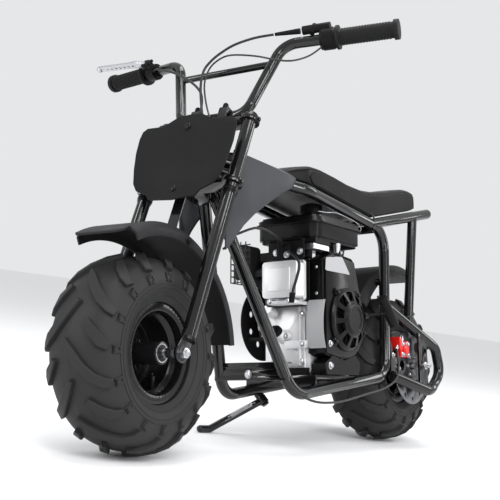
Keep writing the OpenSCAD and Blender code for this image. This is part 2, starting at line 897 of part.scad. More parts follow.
module rear_axle() {
    color(steel) at_rear_axle() {
        axle(rear_axle_half, rear_y - 7 + dropout_t, chain_side_y - 7 + dropout_t);
        spacer(disc_y + 3 + gap, rear_y - 7);
        spacer(-chain_side_y + 7, -chain_y - 1.5 - gap);
    }
}

module front_axle() {
    color(steel) at_front_axle() {
        axle(front_axle_half, leg_y + 3, leg_y + 3);
        both_sides() spacer(front_hub_half + gap, leg_y - 3);
    }
}

module brake_caliper() {
    color(red) parked() {
        block([48, disc_y + 6, 196], [92, disc_y + 20, 236], 5);
        block([62, disc_y - 14, 206], [92, disc_y - 3, 236], 4);
        translate([0, disc_y - 14, 0]) side_plate(0, 34) polygon([[90, 214], [98, 216], [98, 244], [86, 240], [86, 226]]);
        bar([70, disc_y + 18, 214], [70, disc_y + 24, 214], 11);
    }
}

/* Steering */

// Round-ended fork clamp in the plane across the steering axis
module fork_clamp(z) {
    translate([0, 0, z - clamp_t / 2]) linear_extrude(clamp_t) {
        for (k = [-1, 1]) translate([leg_x, k * leg_y]) circle(leg_r + 7);
        translate([leg_x - leg_r - 5, -leg_y]) square([2 * leg_r + 4, 2 * leg_y]);
        circle(22);
        translate([0, -22]) square([leg_x, 44]);
    }
}

fork_top = clamp_gap + 14;
// Foot of the strap that carries the front fender and the number plate
carrier_z = front_fender_r + gap - fork_drop;

module fork() {
    color(black_paint) steered() {
        fork_clamp(0);
        fork_clamp(clamp_gap);
        translate([leg_x + leg_r - 2, -11, carrier_z]) cube([4, 22, clamp_gap + clamp_t / 2 - carrier_z]);
        translate([axle_x - 12, -20, carrier_z]) cube([leg_x + leg_r + 14 - axle_x, 40, 4]);
        for (k = [-1, 1]) {
            bar([leg_x, k * leg_y, -fork_drop + 30], [leg_x, k * leg_y, fork_top], leg_r);
            difference() {
                translate([axle_x, k * leg_y + 3, -fork_drop]) rotate([90, 0, 0]) linear_extrude(6) {
                    circle(17);
                    polygon([[-17, 0], [17, 0], [leg_x - axle_x + 11, 52], [leg_x - axle_x - 11, 52]]);
                }
                translate([axle_x, k * leg_y - 10, -fork_drop]) about_y()
                    cylinder(h = 20, r = axle_r + 0.05);
            }
        }
    }
}

// Handlebar: grips, risers and the straight middle, in the frame of the steering
bar_points = [
    [-12, bar_end - 1, 358], [32, 128, 331], [26, 78, clamp_gap + 25],
    [26, -78, clamp_gap + 25], [32, -128, 331], [-12, -bar_end + 1, 358]
];
cross_bar_t = 0.28;

module handlebar() {
    color(black_paint) steered() {
        tube(bar_points, [0, 45, 35, 35, 45, 0], bar_r);
        p = mix(bar_points[1], bar_points[2], cross_bar_t);
        difference() {
            bar(p, turned(p, -1), 7);
            both_sides() bar(bar_points[1], bar_points[2], bar_r);
        }
    }
}

module bar_clamps() {
    color(black_paint) steered() for (k = [-1, 1]) difference() {
        translate([8, k * 34 - 11, clamp_gap + clamp_t / 2]) cube([36, 22, 34]);
        bar([26, -80, clamp_gap + 25], [26, 80, clamp_gap + 25], bar_r);
    }
}

// Number plate outline across the bike: Y and height above the lower clamp
plate_half = [
    [0, 133], [28, 131], [60, 114], [100, 115], [110, 108], [114, 92], [114, 60], [109, 24],
    [101, -10], [90, -26], [62, -38], [54, -49], [0, -53]
];
plate_tilt = 5.3;
plate_at = 76;

module number_plate() {
    color(plastic) steered() translate([plate_at, 0, 0]) rotate([0, plate_tilt, 0])
        rotate([90, 0, 90]) linear_extrude(plate_t) polygon(concat(
            [for (p = plate_half) [p[0] * plate_w / 228, p[1]]],
            [for (i = [len(plate_half) - 2:-1:1]) [-plate_half[i][0] * plate_w / 228, plate_half[i][1]]]));
    color(plastic) steered() for (z = [-30, 106])
        bar([leg_x + leg_r + 2 + gap, 0, z], [plate_at + z * tan(plate_tilt) + 1, 0, z], 6);
}

grip_dir = unit(bar_points[0] - bar_points[1]);

module grips() {
    color(rubber) steered() both_sides() difference() {
        union() {
            bar(bar_points[0] - grip_dir * grip_len, bar_points[0] + grip_dir * 3, grip_r);
            bar(bar_points[0] - grip_dir * grip_len, bar_points[0] - grip_dir * (grip_len - 5), 24);
            bar(bar_points[0] - grip_dir * 4, bar_points[0] + grip_dir * 5, 20);
        }
        bar(bar_points[1], bar_points[0], bar_r);
    }
}

module throttle_housing() {
    color(plastic) steered() difference() {
        union() {
            bar(bar_points[0] - grip_dir * (grip_len + 32), bar_points[0] - grip_dir * (grip_len + gap), 21);
            bar([37, 170, 354], [29, 226, 360], 9);
            bar([38, 164, 353.5], [48, 113, 348], 6, 3.4);
        }
        bar(bar_points[1], bar_points[0], bar_r);
    }
}

// Lever blade outline: distance along the grip from its inner end, and distance ahead of the bar
lever_outline = [
    [-34, 14], [-30, 34], [-6, 44], [24, 46], [112, 58], [120, 52], [114, 44], [28, 32], [2, 26], [-8, 14]
];
lever_r = 8;

module brake_lever() {
    start = turned(bar_points[0] - grip_dir * grip_len, -1);
    along = turned(grip_dir, -1);
    turn = atan2(along[1], along[0]);
    color(silver) steered() difference() {
        union() {
            bar(start - along * 34, start - along * 10, 18);
            translate(start) rotate([0, 0, turn]) rotate([0, -asin(along[2]), 0])
                translate([0, 0, -3]) linear_extrude(9) {
                    polygon(lever_outline);
                    translate([116, 51]) circle(lever_r);
                }
        }
        bar(turned(bar_points[1], -1), turned(bar_points[0], -1), bar_r);
    }
}

/* Cables */

throttle_route = [
    [48.6, 110, 347.8], [62, 75, 335], [74, 41, 315], [78, 16, 296], [78, -4, 278], [76, -17, 255],
    [70, -16, 216], [62, 3, 150]
];
stop_wire_route = [
    [19.9, 212, 320.2], [22, 210, 312], [34, 195, 285], [52, 172, 264], [60, 137, 268], [66, 93, 281],
    [66, 33, 296], [66, 4, 290], [64, -15, 271], [60, -19, 236], [56, -3, 188], [54, 16, 150]
];
hose_route = [
    [28.5, -203.8, 331.9], [40, -186, 325], [46, -162, 312], [54, -116, 289], [60, -62, 253],
    [62, -23, 217], [58, -12, 188], [54, -10, 150]
];

module bar_cables() {
    color(rubber) steered() {
        cord(smooth(throttle_route, 5), cable_r);
        cord(smooth(stop_wire_route, 4), 0.7 * cable_r);
        cord(smooth(hose_route, 5), cable_r);
    }
}

lower_hose_route = [
    [690, 30, 420], [672, 50, 380], [640, 66, 300], [600, 84, 210], [560, 96, 130],
    [500, 108, 96], [400, 110, 92], [280, 110, 108], [190, 116, 124], [140, 121, 148], [115, 112, 188], [101.6, 101, 215]
];

module brake_hose() {
    color(rubber) parked() cord(smooth(lower_hose_route, 5), cable_r);
}

lower_throttle_route = [
    [660, 40, 420], [600, 52, 440], [520, 46, 430], [460, 20, 420], [426, -10, 404]
];

module throttle_cable() {
    color(rubber) parked() cord(smooth(lower_throttle_route, 5), cable_r);
}

/* Stand */

stand_pivot = [385, -loop_y, 96];
stand_axis = unit([-0.153, 0.596, -0.788]);
foot_r = 8;
// Height of the floor under the leaning bike, at a distance from the middle plane
function floor_z(y) = -y * tan(lean) - lean_drop / cos(lean) - (tyre_r - axle_z);
foot_y = stand_pivot[1] - stand_out;
foot_z = floor_z(foot_y) + foot_r / cos(lean);
foot_ahead = sqrt(stand_len * stand_len - stand_out * stand_out - pow(stand_pivot[2] - foot_z, 2));
stand_foot = [stand_pivot[0] + foot_ahead, foot_y, foot_z];
stand_dir = unit(stand_foot - stand_pivot);

eye_half = 8.5;
eye_r = 11;
pin_r = 5;

// Boss under the right rail, with the bolt on which the stand swings
module stand_bracket() {
    color(black_paint) parked() {
        difference() {
            bar(stand_pivot - stand_axis * (eye_half + gap), stand_pivot - stand_axis * 26, 10);
            mirror([0, 1, 0]) loop_solid();
        }
        bar(stand_pivot - stand_axis * (eye_half + 2), stand_pivot + stand_axis * (eye_half + 3), pin_r);
        bar(stand_pivot + stand_axis * (eye_half + gap), stand_pivot + stand_axis * (eye_half + 5), 8);
    }
}

module side_stand() {
    toe = [28, -4, 4 * tan(lean)];
    color(black_paint) parked() difference() {
        union() {
            bar(stand_pivot - stand_axis * eye_half, stand_pivot + stand_axis * eye_half, eye_r);
            bar(stand_pivot + stand_dir * 8, stand_foot, foot_r - bend_swell);
            bar(stand_foot, stand_foot + toe, foot_r - 2 * bend_swell);
            translate(stand_foot) sphere(foot_r);
            translate(stand_foot + toe) sphere(foot_r);
        }
        bar(stand_pivot - stand_axis * 20, stand_pivot + stand_axis * 20, pin_r + hub_play);
    }
}

// Return spring beside the leg
spring_r = 4.5;

module stand_spring() {
    beside = unit(cross(stand_dir, stand_axis)) * (foot_r + spring_r + gap);
    color(steel) parked()
        bar(stand_pivot + stand_dir * 22 + beside, stand_pivot + stand_dir * 92 + beside, spring_r);
}

frame_loop_left();
frame_loop_right();
head_tube();
cross_members();
seat_frame();
rear_loop_left();
rear_loop_right();
engine_plate();
stand_bracket();
crankcase();
cylinder_node();  // cylinder
valve_cover();
fan_shroud();
recoil_cover();
recoil_handle();
fuel_tank();
fuel_cap();
intake();
muffler();
muffler_guard();
clutch();
drive_chain();
chain_guard();
cowl();
seat();
rear_fender();
rear_axle();
brake_caliper();
brake_hose();
throttle_cable();
fork();
handlebar();
bar_clamps();
number_plate();
front_fender();
front_axle();
grips();
throttle_housing();
brake_lever();
bar_cables();
front_tyre();
front_rim();
rear_tyre();
rear_rim();
brake_disc();
rear_sprocket();
side_stand();
stand_spring();
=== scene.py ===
"""Looks for the kids dirt bike, built round its packed construction model.

Pieces are drawn in millimetres in one of four frames, the upright bike, the steering and the two
wheels, and laid into the shared frame in metres. The bike frame runs forward from the rear axle,
to the rider's left, and up from the floor under the upright bike.
"""
from __future__ import annotations

import json
import logging
import math
from collections.abc import Callable, Sequence
from dataclasses import dataclass, field
from enum import Enum

import bmesh
import bpy
from mathutils import Matrix, Vector

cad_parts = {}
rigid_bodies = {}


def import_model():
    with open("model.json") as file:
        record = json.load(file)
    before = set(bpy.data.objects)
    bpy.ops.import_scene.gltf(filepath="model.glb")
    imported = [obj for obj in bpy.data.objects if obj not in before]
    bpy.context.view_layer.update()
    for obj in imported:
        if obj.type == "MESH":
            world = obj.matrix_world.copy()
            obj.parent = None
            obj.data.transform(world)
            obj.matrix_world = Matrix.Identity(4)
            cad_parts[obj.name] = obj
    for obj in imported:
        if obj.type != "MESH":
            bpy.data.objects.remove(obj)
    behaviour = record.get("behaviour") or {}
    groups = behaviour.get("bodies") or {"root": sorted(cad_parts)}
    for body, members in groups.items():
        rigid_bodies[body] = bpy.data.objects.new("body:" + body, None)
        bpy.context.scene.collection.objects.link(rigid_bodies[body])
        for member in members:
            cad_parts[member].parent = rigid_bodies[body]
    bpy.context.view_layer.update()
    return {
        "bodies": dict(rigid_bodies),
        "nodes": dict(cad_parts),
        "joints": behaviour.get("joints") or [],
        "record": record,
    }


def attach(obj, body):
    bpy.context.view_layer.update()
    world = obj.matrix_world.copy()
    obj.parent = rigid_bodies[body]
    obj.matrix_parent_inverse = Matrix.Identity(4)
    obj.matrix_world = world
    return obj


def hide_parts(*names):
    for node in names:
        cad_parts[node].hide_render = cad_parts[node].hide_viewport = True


log = logging.getLogger("dirt_bike")

MM = 0.001
Point = tuple[float, float, float]
Outline = list[tuple[float, float]]


# Frames


@dataclass
class Frames:
    """The four frames that pieces are drawn in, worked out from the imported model's joints."""

    bike: Matrix
    steering: Matrix
    front_wheel: Matrix
    rear_wheel: Matrix
    lean: float

    @classmethod
    def from_joints(cls, joints: list[dict], tyre_r: float) -> "Frames":
        """Reads the frames off the joints.

        Args:
            joints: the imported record's joints.
            tyre_r: the tyre's radius over its lugs, in millimetres.

        Returns:
            The frames, each a matrix from millimetres to the shared frame in metres.
        """
        by_name = {joint["name"]: joint for joint in joints}
        across = Vector(by_name["rear_wheel_spin"]["axis"])
        rear = Vector(by_name["rear_wheel_spin"]["pos_m"])
        lean = math.atan2(across.z, across.y)
        tilt = Matrix.Rotation(lean, 4, "X")
        scale = Matrix.Scale(MM, 4)
        rear_wheel = Matrix.Translation(rear) @ tilt @ scale
        bike = rear_wheel @ Matrix.Translation((0, 0, -tyre_r))
        up = Vector(by_name["steering_turn"]["axis"]).normalized()
        left = Vector(by_name["front_wheel_spin"]["axis"]).normalized()
        left = (left - up * left.dot(up)).normalized()
        axes = Matrix((left.cross(up), left, up)).transposed().to_4x4()
        steering = Matrix.Translation(by_name["steering_turn"]["pos_m"]) @ axes @ scale
        rake = up.angle(tilt.to_3x3() @ Vector((0, 0, 1)))
        level = axes @ Matrix.Rotation(rake, 4, "Y")
        front_wheel = Matrix.Translation(by_name["front_wheel_spin"]["pos_m"]) @ level @ scale
        return cls(bike, steering, front_wheel, rear_wheel, lean)


# Shapes


class Shape:
    """A mesh under construction, in millimetres, with the round and flat forms that parts need."""

    def __init__(self) -> None:
        """Starts an empty mesh."""
        self.mesh = bmesh.new()

    def ring_skin(self, rings: Sequence[Sequence[Vector]], closed: bool = False, capped: bool = True) -> None:
        """Skins rings of equal point count.

        Args:
            rings: the rings in order.
            closed: whether the last ring joins the first.
            capped: whether the end rings are filled when the skin is open.
        """
        made = [[self.mesh.verts.new(p) for p in ring] for ring in rings]
        count = len(made[0])
        pairs = list(zip(made, made[1:] + made[:1])) if closed else list(zip(made, made[1:]))
        for low, high in pairs:
            for k in range(count):
                n = (k + 1) % count
                self.mesh.faces.new((low[k], low[n], high[n], high[k]))
        if capped and not closed:
            self.mesh.faces.new(tuple(reversed(made[0])))
            self.mesh.faces.new(tuple(made[-1]))

    def tube(self, path: Sequence[Point], radius: float | Sequence[float], sides: int = 12,
             closed: bool = False, flat: float = 1.0) -> None:
        """Sweeps a round along a path.

        Args:
            path: the points of the centre line.
            radius: the radius, or one radius for each point.
            sides: the points of the round.
            closed: whether the path is a loop.
            flat: the share of the radius across the second direction, 1 for a true round.
        """
        points = [Vector(p) for p in path]
        n = len(points)
        radii = list(radius) if isinstance(radius, Sequence) else [radius] * n
        ways = []
        for i in range(n):
            before = points[(i - 1) % n] if closed or i else points[0]
            after = points[(i + 1) % n] if closed or i < n - 1 else points[-1]
            ways.append((after - before).normalized())
        side = ways[0].orthogonal().normalized()
        rings = []
        for p, way, r in zip(points, ways, radii):
            side = (side - way * side.dot(way)).normalized()
            other = way.cross(side)
            rings.append([
                p + r * (math.cos(a) * side + flat * math.sin(a) * other)
                for a in (math.tau * k / sides for k in range(sides))
            ])
        self.ring_skin(rings, closed=closed)

    def rod(self, start: Point, end: Point, radius: float, tip: float | None = None, sides: int = 24) -> None:
        """Adds a straight round rod, or a taper when tip gives the end's radius."""
        self.tube([start, end], [radius, radius if tip is None else tip], sides)

    def turned(self, profile: Outline, sides: int = 64, closed: bool = True, place: Matrix | None = None) -> None:
        """Turns an outline about the Y axis.

        Args:
            profile: radius and Y of each point.
            sides: the steps round the axis.
            closed: whether the outline's last point joins its first.
            place: an optional matrix that moves the result.
        """
        move = place or Matrix.Identity(4)
        rings = []
        for k in range(sides):
            a = math.tau * k / sides
            rings.append([move @ Vector((r * math.sin(a), y, r * math.cos(a))) for r, y in profile])
        made = [[self.mesh.verts.new(p) for p in ring] for ring in rings]
        last = len(profile) if closed else len(profile) - 1
        for low, high in zip(made, made[1:] + made[:1]):
            for k in range(last):
                n = (k + 1) % len(profile)
                self.mesh.faces.new((low[k], high[k], high[n], low[n]))

    def prism(self, outline: Outline, depth: float, place: Matrix) -> None:
        """Adds a flat plate: an outline in X and Y, thickened along Z, then placed by a matrix."""
        low = [place @ Vector((x, y, 0)) for x, y in outline]
        high = [place @ Vector((x, y, depth)) for x, y in outline]
        self.ring_skin([low, high])

    def block(self, low: Point, high: Point, place: Matrix | None = None) -> None:
        """Adds a box between two corners."""
        outline = [(low[0], low[1]), (high[0], low[1]), (high[0], high[1]), (low[0], high[1])]
        move = place or Matrix.Identity(4)
        self.prism(outline, high[2] - low[2], move @ Matrix.Translation((0, 0, low[2])))

    def bolt(self, at: Point, way: Point, across: float = 5.0, head: float = 4.0, washer: bool = True) -> None:
        """Adds a hexagon bolt head with a washer and a chamfered top.

        Args:
            at: where the head meets its surface.
            way: the direction the head points in.
            across: the radius over the head's corners.
            head: the height of the head.
            washer: whether a washer lies under the head.
        """
        start, along = Vector(at), Vector(way).normalized()
        if washer:
            self.tube([start, start + along * 1.2, start + along * 1.6],
                      [across * 1.45, across * 1.45, across * 1.3], 20)
            start = start + along * 1.6
        self.tube([start, start + along * (head * 0.8), start + along * head],
                  [across, across, across * 0.82], 6)

    def finish(self, name: str, frame: Matrix, material: bpy.types.Material, sharp: float = 35.0) -> bpy.types.Object:
        """Turns the mesh into an object with its place in its mesh.

        Args:
            name: the piece's name.
            frame: the matrix from this mesh's frame to the shared one.
            material: its finish.
            sharp: the angle in degrees from which an edge stays sharp.

        Returns:
            The new object, at the origin.
        """
        bmesh.ops.recalc_face_normals(self.mesh, faces=self.mesh.faces)
        self.mesh.transform(frame)
        data = bpy.data.meshes.new(name)
        self.mesh.to_mesh(data)
        self.mesh.free()
        data.materials.append(material)
        data.shade_smooth()
        data.set_sharp_from_angle(angle=math.radians(sharp))
        piece = bpy.data.objects.new(name, data)
        bpy.context.scene.collection.objects.link(piece)
        return piece


def smooth_route(points: Sequence[Point], steps: int) -> list[Vector]:
    """Runs a smooth curve through given points, as the construction's cords do.

    Args:
        points: the points to pass through.
        steps: the steps between each two.

    Returns:
        The points of the curve.
    """
    p = [Vector(q) for q in points]
    route = []
    for i in range(len(p) - 1):
        a, b, c, d = p[max(i - 1, 0)], p[i], p[i + 1], p[min(i + 2, len(p) - 1)]
        for k in range(steps):
            t = k / steps
            route.append(0.5 * (2 * b + (c - a) * t + (2 * a - 5 * b + 4 * c - d) * t * t
                                + (3 * b - a - 3 * c + d) * t ** 3))
    return route + [p[-1]]


def rounded_outline(corners: Outline, radius: float, steps: int = 5) -> Outline:
    """Rounds the corners of a closed outline by a quadratic curve at each.

    Args:
        corners: the outline's corners in order.
        radius: how far the rounding reaches along each side.
        steps: the points of each rounding, less one.

    Returns:
        The rounded outline.
    """
    made: Outline = []
    count = len(corners)
    for i, (x, y) in enumerate(corners):
        here = Vector((x, y))
        before, after = Vector(corners[i - 1]), Vector(corners[(i + 1) % count])
        reach_in = min(radius, (before - here).length * 0.45)
        reach_out = min(radius, (after - here).length * 0.45)
        start = here + (before - here).normalized() * reach_in
        end = here + (after - here).normalized() * reach_out
        for k in range(steps + 1):
            t = k / steps
            p = start * (1 - t) ** 2 + here * 2 * t * (1 - t) + end * t * t
            made.append((p.x, p.y))
    return made


# Finishes


class Texture(Enum):
    """The fine form of a surface."""

    ORANGE_PEEL = "powder coat"
    CAST = "sand cast"
    BRUSHED = "brushed or ground"
    MOULDED = "moulded plastic"
    VINYL = "leather grain"
    RUBBER = "moulded rubber"


class Weather:
    """Shader groups that several finishes share."""

    @staticmethod
    def _group(name: str, inputs: dict[str, float], outputs: Sequence[str]) -> bpy.types.NodeTree:
        """Makes a node group with float sockets."""
        tree = bpy.data.node_groups.new(name, "ShaderNodeTree")
        for label, value in inputs.items():
            socket = tree.interface.new_socket(name=label, in_out="INPUT", socket_type="NodeSocketFloat")
            socket.default_value = value
        for label in outputs:
            tree.interface.new_socket(name=label, in_out="OUTPUT", socket_type="NodeSocketFloat")
        return tree

    @classmethod
    def handling(cls) -> bpy.types.NodeTree:
        """Roughness that varies softly, as on a surface that is wiped and touched.

        Returns:
            The group, with inputs Low, High and Scale and the output Roughness.
        """
        name = "handling"
        if name in bpy.data.node_groups:
            return bpy.data.node_groups[name]
        tree = cls._group(name, {"Low": 0.3, "High": 0.4, "Scale": 9.0}, ["Roughness"])
        source, sink = tree.nodes.new("NodeGroupInput"), tree.nodes.new("NodeGroupOutput")
        place = tree.nodes.new("ShaderNodeTexCoord")
        noise = tree.nodes.new("ShaderNodeTexNoise")
        noise.inputs["Detail"].default_value = 5.0
        noise.inputs["Roughness"].default_value = 0.65
        spread = tree.nodes.new("ShaderNodeMapRange")
        spread.inputs["From Min"].default_value = 0.34
        spread.inputs["From Max"].default_value = 0.68
        tree.links.new(place.outputs["Object"], noise.inputs["Vector"])
        tree.links.new(source.outputs["Scale"], noise.inputs["Scale"])
        tree.links.new(noise.outputs["Fac"], spread.inputs["Value"])
        tree.links.new(source.outputs["Low"], spread.inputs["To Min"])
        tree.links.new(source.outputs["High"], spread.inputs["To Max"])
        tree.links.new(spread.outputs["Result"], sink.inputs["Roughness"])
        return tree

    @classmethod
    def dust(cls) -> bpy.types.NodeTree:
        """A mask of fine dust in soft noise patches.

        Returns:
            The group, with inputs Amount and Scale and the output Mask.
        """
        name = "dust"
        if name in bpy.data.node_groups:
            return bpy.data.node_groups[name]
        tree = cls._group(name, {"Amount": 0.2, "Scale": 14.0}, ["Mask"])
        source, sink = tree.nodes.new("NodeGroupInput"), tree.nodes.new("NodeGroupOutput")
        place = tree.nodes.new("ShaderNodeTexCoord")
        noise = tree.nodes.new("ShaderNodeTexNoise")
        noise.inputs["Detail"].default_value = 7.0
        noise.inputs["Roughness"].default_value = 0.7
        spread = tree.nodes.new("ShaderNodeMapRange")
        spread.inputs["From Min"].default_value = 0.45
        spread.inputs["From Max"].default_value = 0.8
        times = tree.nodes.new("ShaderNodeMath")
        times.operation = "MULTIPLY"
        tree.links.new(place.outputs["Object"], noise.inputs["Vector"])
        tree.links.new(source.outputs["Scale"], noise.inputs["Scale"])
        tree.links.new(noise.outputs["Fac"], spread.inputs["Value"])
        tree.links.new(spread.outputs["Result"], times.inputs[0])
        tree.links.new(source.outputs["Amount"], times.inputs[1])
        tree.links.new(times.outputs["Value"], sink.inputs["Mask"])
        return tree

    @classmethod
    def grain(cls, texture: Texture) -> bpy.types.NodeTree:
        """The height of a fine texture.

        Args:
            texture: which texture.

        Returns:
            The group, with the input Scale and the output Height.
        """
        name = "grain " + texture.value
        if name in bpy.data.node_groups:
            return bpy.data.node_groups[name]
        tree = cls._group(name, {"Scale": 400.0}, ["Height"])
        source, sink = tree.nodes.new("NodeGroupInput"), tree.nodes.new("NodeGroupOutput")
        place = tree.nodes.new("ShaderNodeTexCoord")
        vector = place.outputs["Object"]
        if texture is Texture.VINYL:
            cells = tree.nodes.new("ShaderNodeTexVoronoi")
            cells.feature = "DISTANCE_TO_EDGE"
            soft = tree.nodes.new("ShaderNodeMapRange")
            soft.inputs["From Max"].default_value = 0.25
            tree.links.new(vector, cells.inputs["Vector"])
            tree.links.new(source.outputs["Scale"], cells.inputs["Scale"])
            tree.links.new(cells.outputs["Distance"], soft.inputs["Value"])
            tree.links.new(soft.outputs["Result"], sink.inputs["Height"])
            return tree
        noise = tree.nodes.new("ShaderNodeTexNoise")
        noise.inputs["Detail"].default_value = 2.0 if texture is Texture.ORANGE_PEEL else 6.0
        if texture is Texture.BRUSHED:
            stretch = tree.nodes.new("ShaderNodeMapping")
            stretch.inputs["Scale"].default_value = (0.06, 1.0, 1.0)
            tree.links.new(vector, stretch.inputs["Vector"])
            vector = stretch.outputs["Vector"]
        tree.links.new(vector, noise.inputs["Vector"])
        tree.links.new(source.outputs["Scale"], noise.inputs["Scale"])
        tree.links.new(noise.outputs["Fac"], sink.inputs["Height"])
        return tree


@dataclass(frozen=True)
class Finish:
    """A finish: its colours, gloss and fine form.

    Attributes:
        slot: the record's material slot.
        colour: the main colour.
        texture: the fine form.
        rough: the lowest and highest roughness.
        metal: 1 for bare metal.
        coat: the weight of a clear coat.
        scale: how fine the texture is, in repeats a metre.
        depth: how deep it reads, in millimetres.
        dusty: the most that dust covers.
        shine: the shader's specular level, lower for matt plastics.
        name: the material's name where it isn't the slot's.
    """

    slot: str
    colour: Point
    texture: Texture
    rough: tuple[float, float] = (0.3, 0.4)
    metal: float = 0.0
    coat: float = 0.0
    scale: float = 400.0
    depth: float = 0.05
    dusty: float = 0.0
    dust_colour: Point = (0.06, 0.057, 0.054)
    shine: float = 0.5
    name: str = ""

    def material(self) -> bpy.types.Material:
        """Builds the material once and returns it after that."""
        label = "finish " + (self.name or self.slot)
        if label in bpy.data.materials:
            return bpy.data.materials[label]
        made = bpy.data.materials.new(label)
        made.use_nodes = True
        made.diffuse_color = (*self.colour, 1.0)
        nodes, links = made.node_tree.nodes, made.node_tree.links
        shader = nodes["Principled BSDF"]
        shader.inputs["Metallic"].default_value = self.metal
        shader.inputs["Coat Weight"].default_value = self.coat
        shader.inputs["Coat Roughness"].default_value = 0.08
        shader.inputs["Specular IOR Level"].default_value = self.shine
        tone = nodes.new("ShaderNodeMix")
        tone.data_type = "RGBA"
        tone.inputs["A"].default_value = (*self.colour, 1.0)
        tone.inputs["B"].default_value = (*self.dust_colour, 1.0)
        dust = nodes.new("ShaderNodeGroup")
        dust.node_tree = Weather.dust()
        dust.inputs["Amount"].default_value = max(self.dusty, 0.02)
        links.new(dust.outputs["Mask"], tone.inputs["Factor"])
        links.new(tone.outputs["Result"], shader.inputs["Base Color"])
        handling = nodes.new("ShaderNodeGroup")
        handling.node_tree = Weather.handling()
        handling.inputs["Low"].default_value = self.rough[0]
        handling.inputs["High"].default_value = self.rough[1]
        links.new(handling.outputs["Roughness"], shader.inputs["Roughness"])
        grain = nodes.new("ShaderNodeGroup")
        grain.node_tree = Weather.grain(self.texture)
        grain.inputs["Scale"].default_value = self.scale
        bump = nodes.new("ShaderNodeBump")
        bump.inputs["Strength"].default_value = 0.6
        bump.inputs["Distance"].default_value = self.depth * MM
        links.new(grain.outputs["Height"], bump.inputs["Height"])
        links.new(bump.outputs["Normal"], shader.inputs["Normal"])
        return made


FINISHES = {
    finish.name or finish.slot: finish
    for finish in (
        Finish("tube_black", (0.004, 0.004, 0.0045), Texture.ORANGE_PEEL, (0.12, 0.2), coat=0.3, scale=260, depth=0.04,
               shine=0.3),
        Finish("rim_black", (0.006, 0.006, 0.0065), Texture.ORANGE_PEEL, (0.20, 0.30), coat=0.12, scale=260, depth=0.04,
               dusty=0.03, shine=0.2),
        Finish("engine_black", (0.003, 0.003, 0.0033), Texture.ORANGE_PEEL, (0.26, 0.36), coat=0.06, scale=220,
               depth=0.04, shine=0.15),
        Finish("exhaust_black", (0.007, 0.007, 0.007), Texture.CAST, (0.5, 0.65), scale=900, depth=0.1, shine=0.3),
        Finish("cylinder_black", (0.010, 0.010, 0.010), Texture.CAST, (0.42, 0.55), scale=700, depth=0.12, shine=0.3),
        Finish("cast_alloy", (0.72, 0.72, 0.73), Texture.CAST, (0.36, 0.5), metal=0.6, scale=650, depth=0.12),
        Finish("lever_alloy", (0.50, 0.50, 0.52), Texture.BRUSHED, (0.3, 0.42), metal=0.9, scale=500, depth=0.03),
        Finish("steel", (0.52, 0.52, 0.54), Texture.BRUSHED, (0.28, 0.4), metal=1.0, scale=600, depth=0.04),
        Finish("disc_steel", (0.18, 0.18, 0.19), Texture.BRUSHED, (0.30, 0.42), metal=1.0, scale=700, depth=0.05),
        Finish("chain_steel", (0.33, 0.31, 0.28), Texture.BRUSHED, (0.3, 0.45), metal=1.0, scale=500, depth=0.04,
               dusty=0.1),
        Finish("zinc_steel", (0.50, 0.50, 0.52), Texture.BRUSHED, (0.25, 0.36), metal=1.0, scale=500, depth=0.03),
        Finish("steel", (0.36, 0.36, 0.37), Texture.BRUSHED, (0.55, 0.68), metal=0.3, scale=300, depth=0.03,
               shine=0.3, name="plate_steel"),
        Finish("caliper_red", (0.62, 0.010, 0.008), Texture.CAST, (0.25, 0.36), metal=0.2, coat=0.3, scale=600,
               depth=0.06),
        Finish("black_plastic", (0.006, 0.006, 0.0065), Texture.MOULDED, (0.36, 0.48), scale=1100, depth=0.06,
               shine=0.08),
        Finish("fender_plastic", (0.014, 0.014, 0.015), Texture.MOULDED, (0.44, 0.56), scale=1000, depth=0.07,
               dusty=0.03, shine=0.12),
        Finish("fender_plastic", (0.007, 0.007, 0.0075), Texture.MOULDED, (0.48, 0.6), scale=1000, depth=0.05,
               shine=0.1, name="plate_plastic"),
        Finish("cowl_plastic", (0.035, 0.037, 0.041), Texture.MOULDED, (0.38, 0.50), scale=1100, depth=0.05,
               shine=0.18),
        Finish("seat_vinyl", (0.005, 0.005, 0.0053), Texture.VINYL, (0.30, 0.42), scale=420, depth=0.12, shine=0.13),
        Finish("seat_vinyl", (0.009, 0.009, 0.0095), Texture.VINYL, (0.46, 0.58), scale=420, depth=0.12, shine=0.08,
               name="seat_side_vinyl"),
        Finish("tyre", (0.016, 0.016, 0.0165), Texture.RUBBER, (0.5, 0.64), scale=500, depth=0.1, dusty=0.05,
               shine=0.2),
        Finish("grip_rubber", (0.008, 0.008, 0.0085), Texture.RUBBER, (0.5, 0.62), scale=700, depth=0.08, shine=0.15),
        Finish("hose_rubber", (0.006, 0.006, 0.0065), Texture.RUBBER, (0.32, 0.44), scale=600, depth=0.05, shine=0.4),
    )
}


def finish_of(slot: str) -> bpy.types.Material:
    """Returns the material of a slot."""
    return FINISHES[slot].material()


def place(shape: Shape, name: str, frame: Matrix, finish: str, body: str, rounded: float = 0.0,
          sharp: float = 35.0) -> bpy.types.Object:
    """Finishes a shape as a piece of the scene that moves with a body.

    Args:
        shape: the mesh under construction.
        name: the piece's name.
        frame: the frame it is drawn in.
        finish: the name of its finish.
        body: the body it moves with.
        rounded: the width of its rounded edges, in millimetres, or 0 for none.
        sharp: the angle in degrees from which an edge stays sharp.

    Returns:
        The piece.
    """
    piece = shape.finish(name, frame, finish_of(finish), sharp)
    if rounded:
        bevel = piece.modifiers.new("edges", "BEVEL")
        bevel.width = rounded * MM
        bevel.segments = 2
        bevel.limit_method = "ANGLE"
        bevel.angle_limit = math.radians(30)
        bevel.harden_normals = True
    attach(piece, body)
    return piece


# Wheels


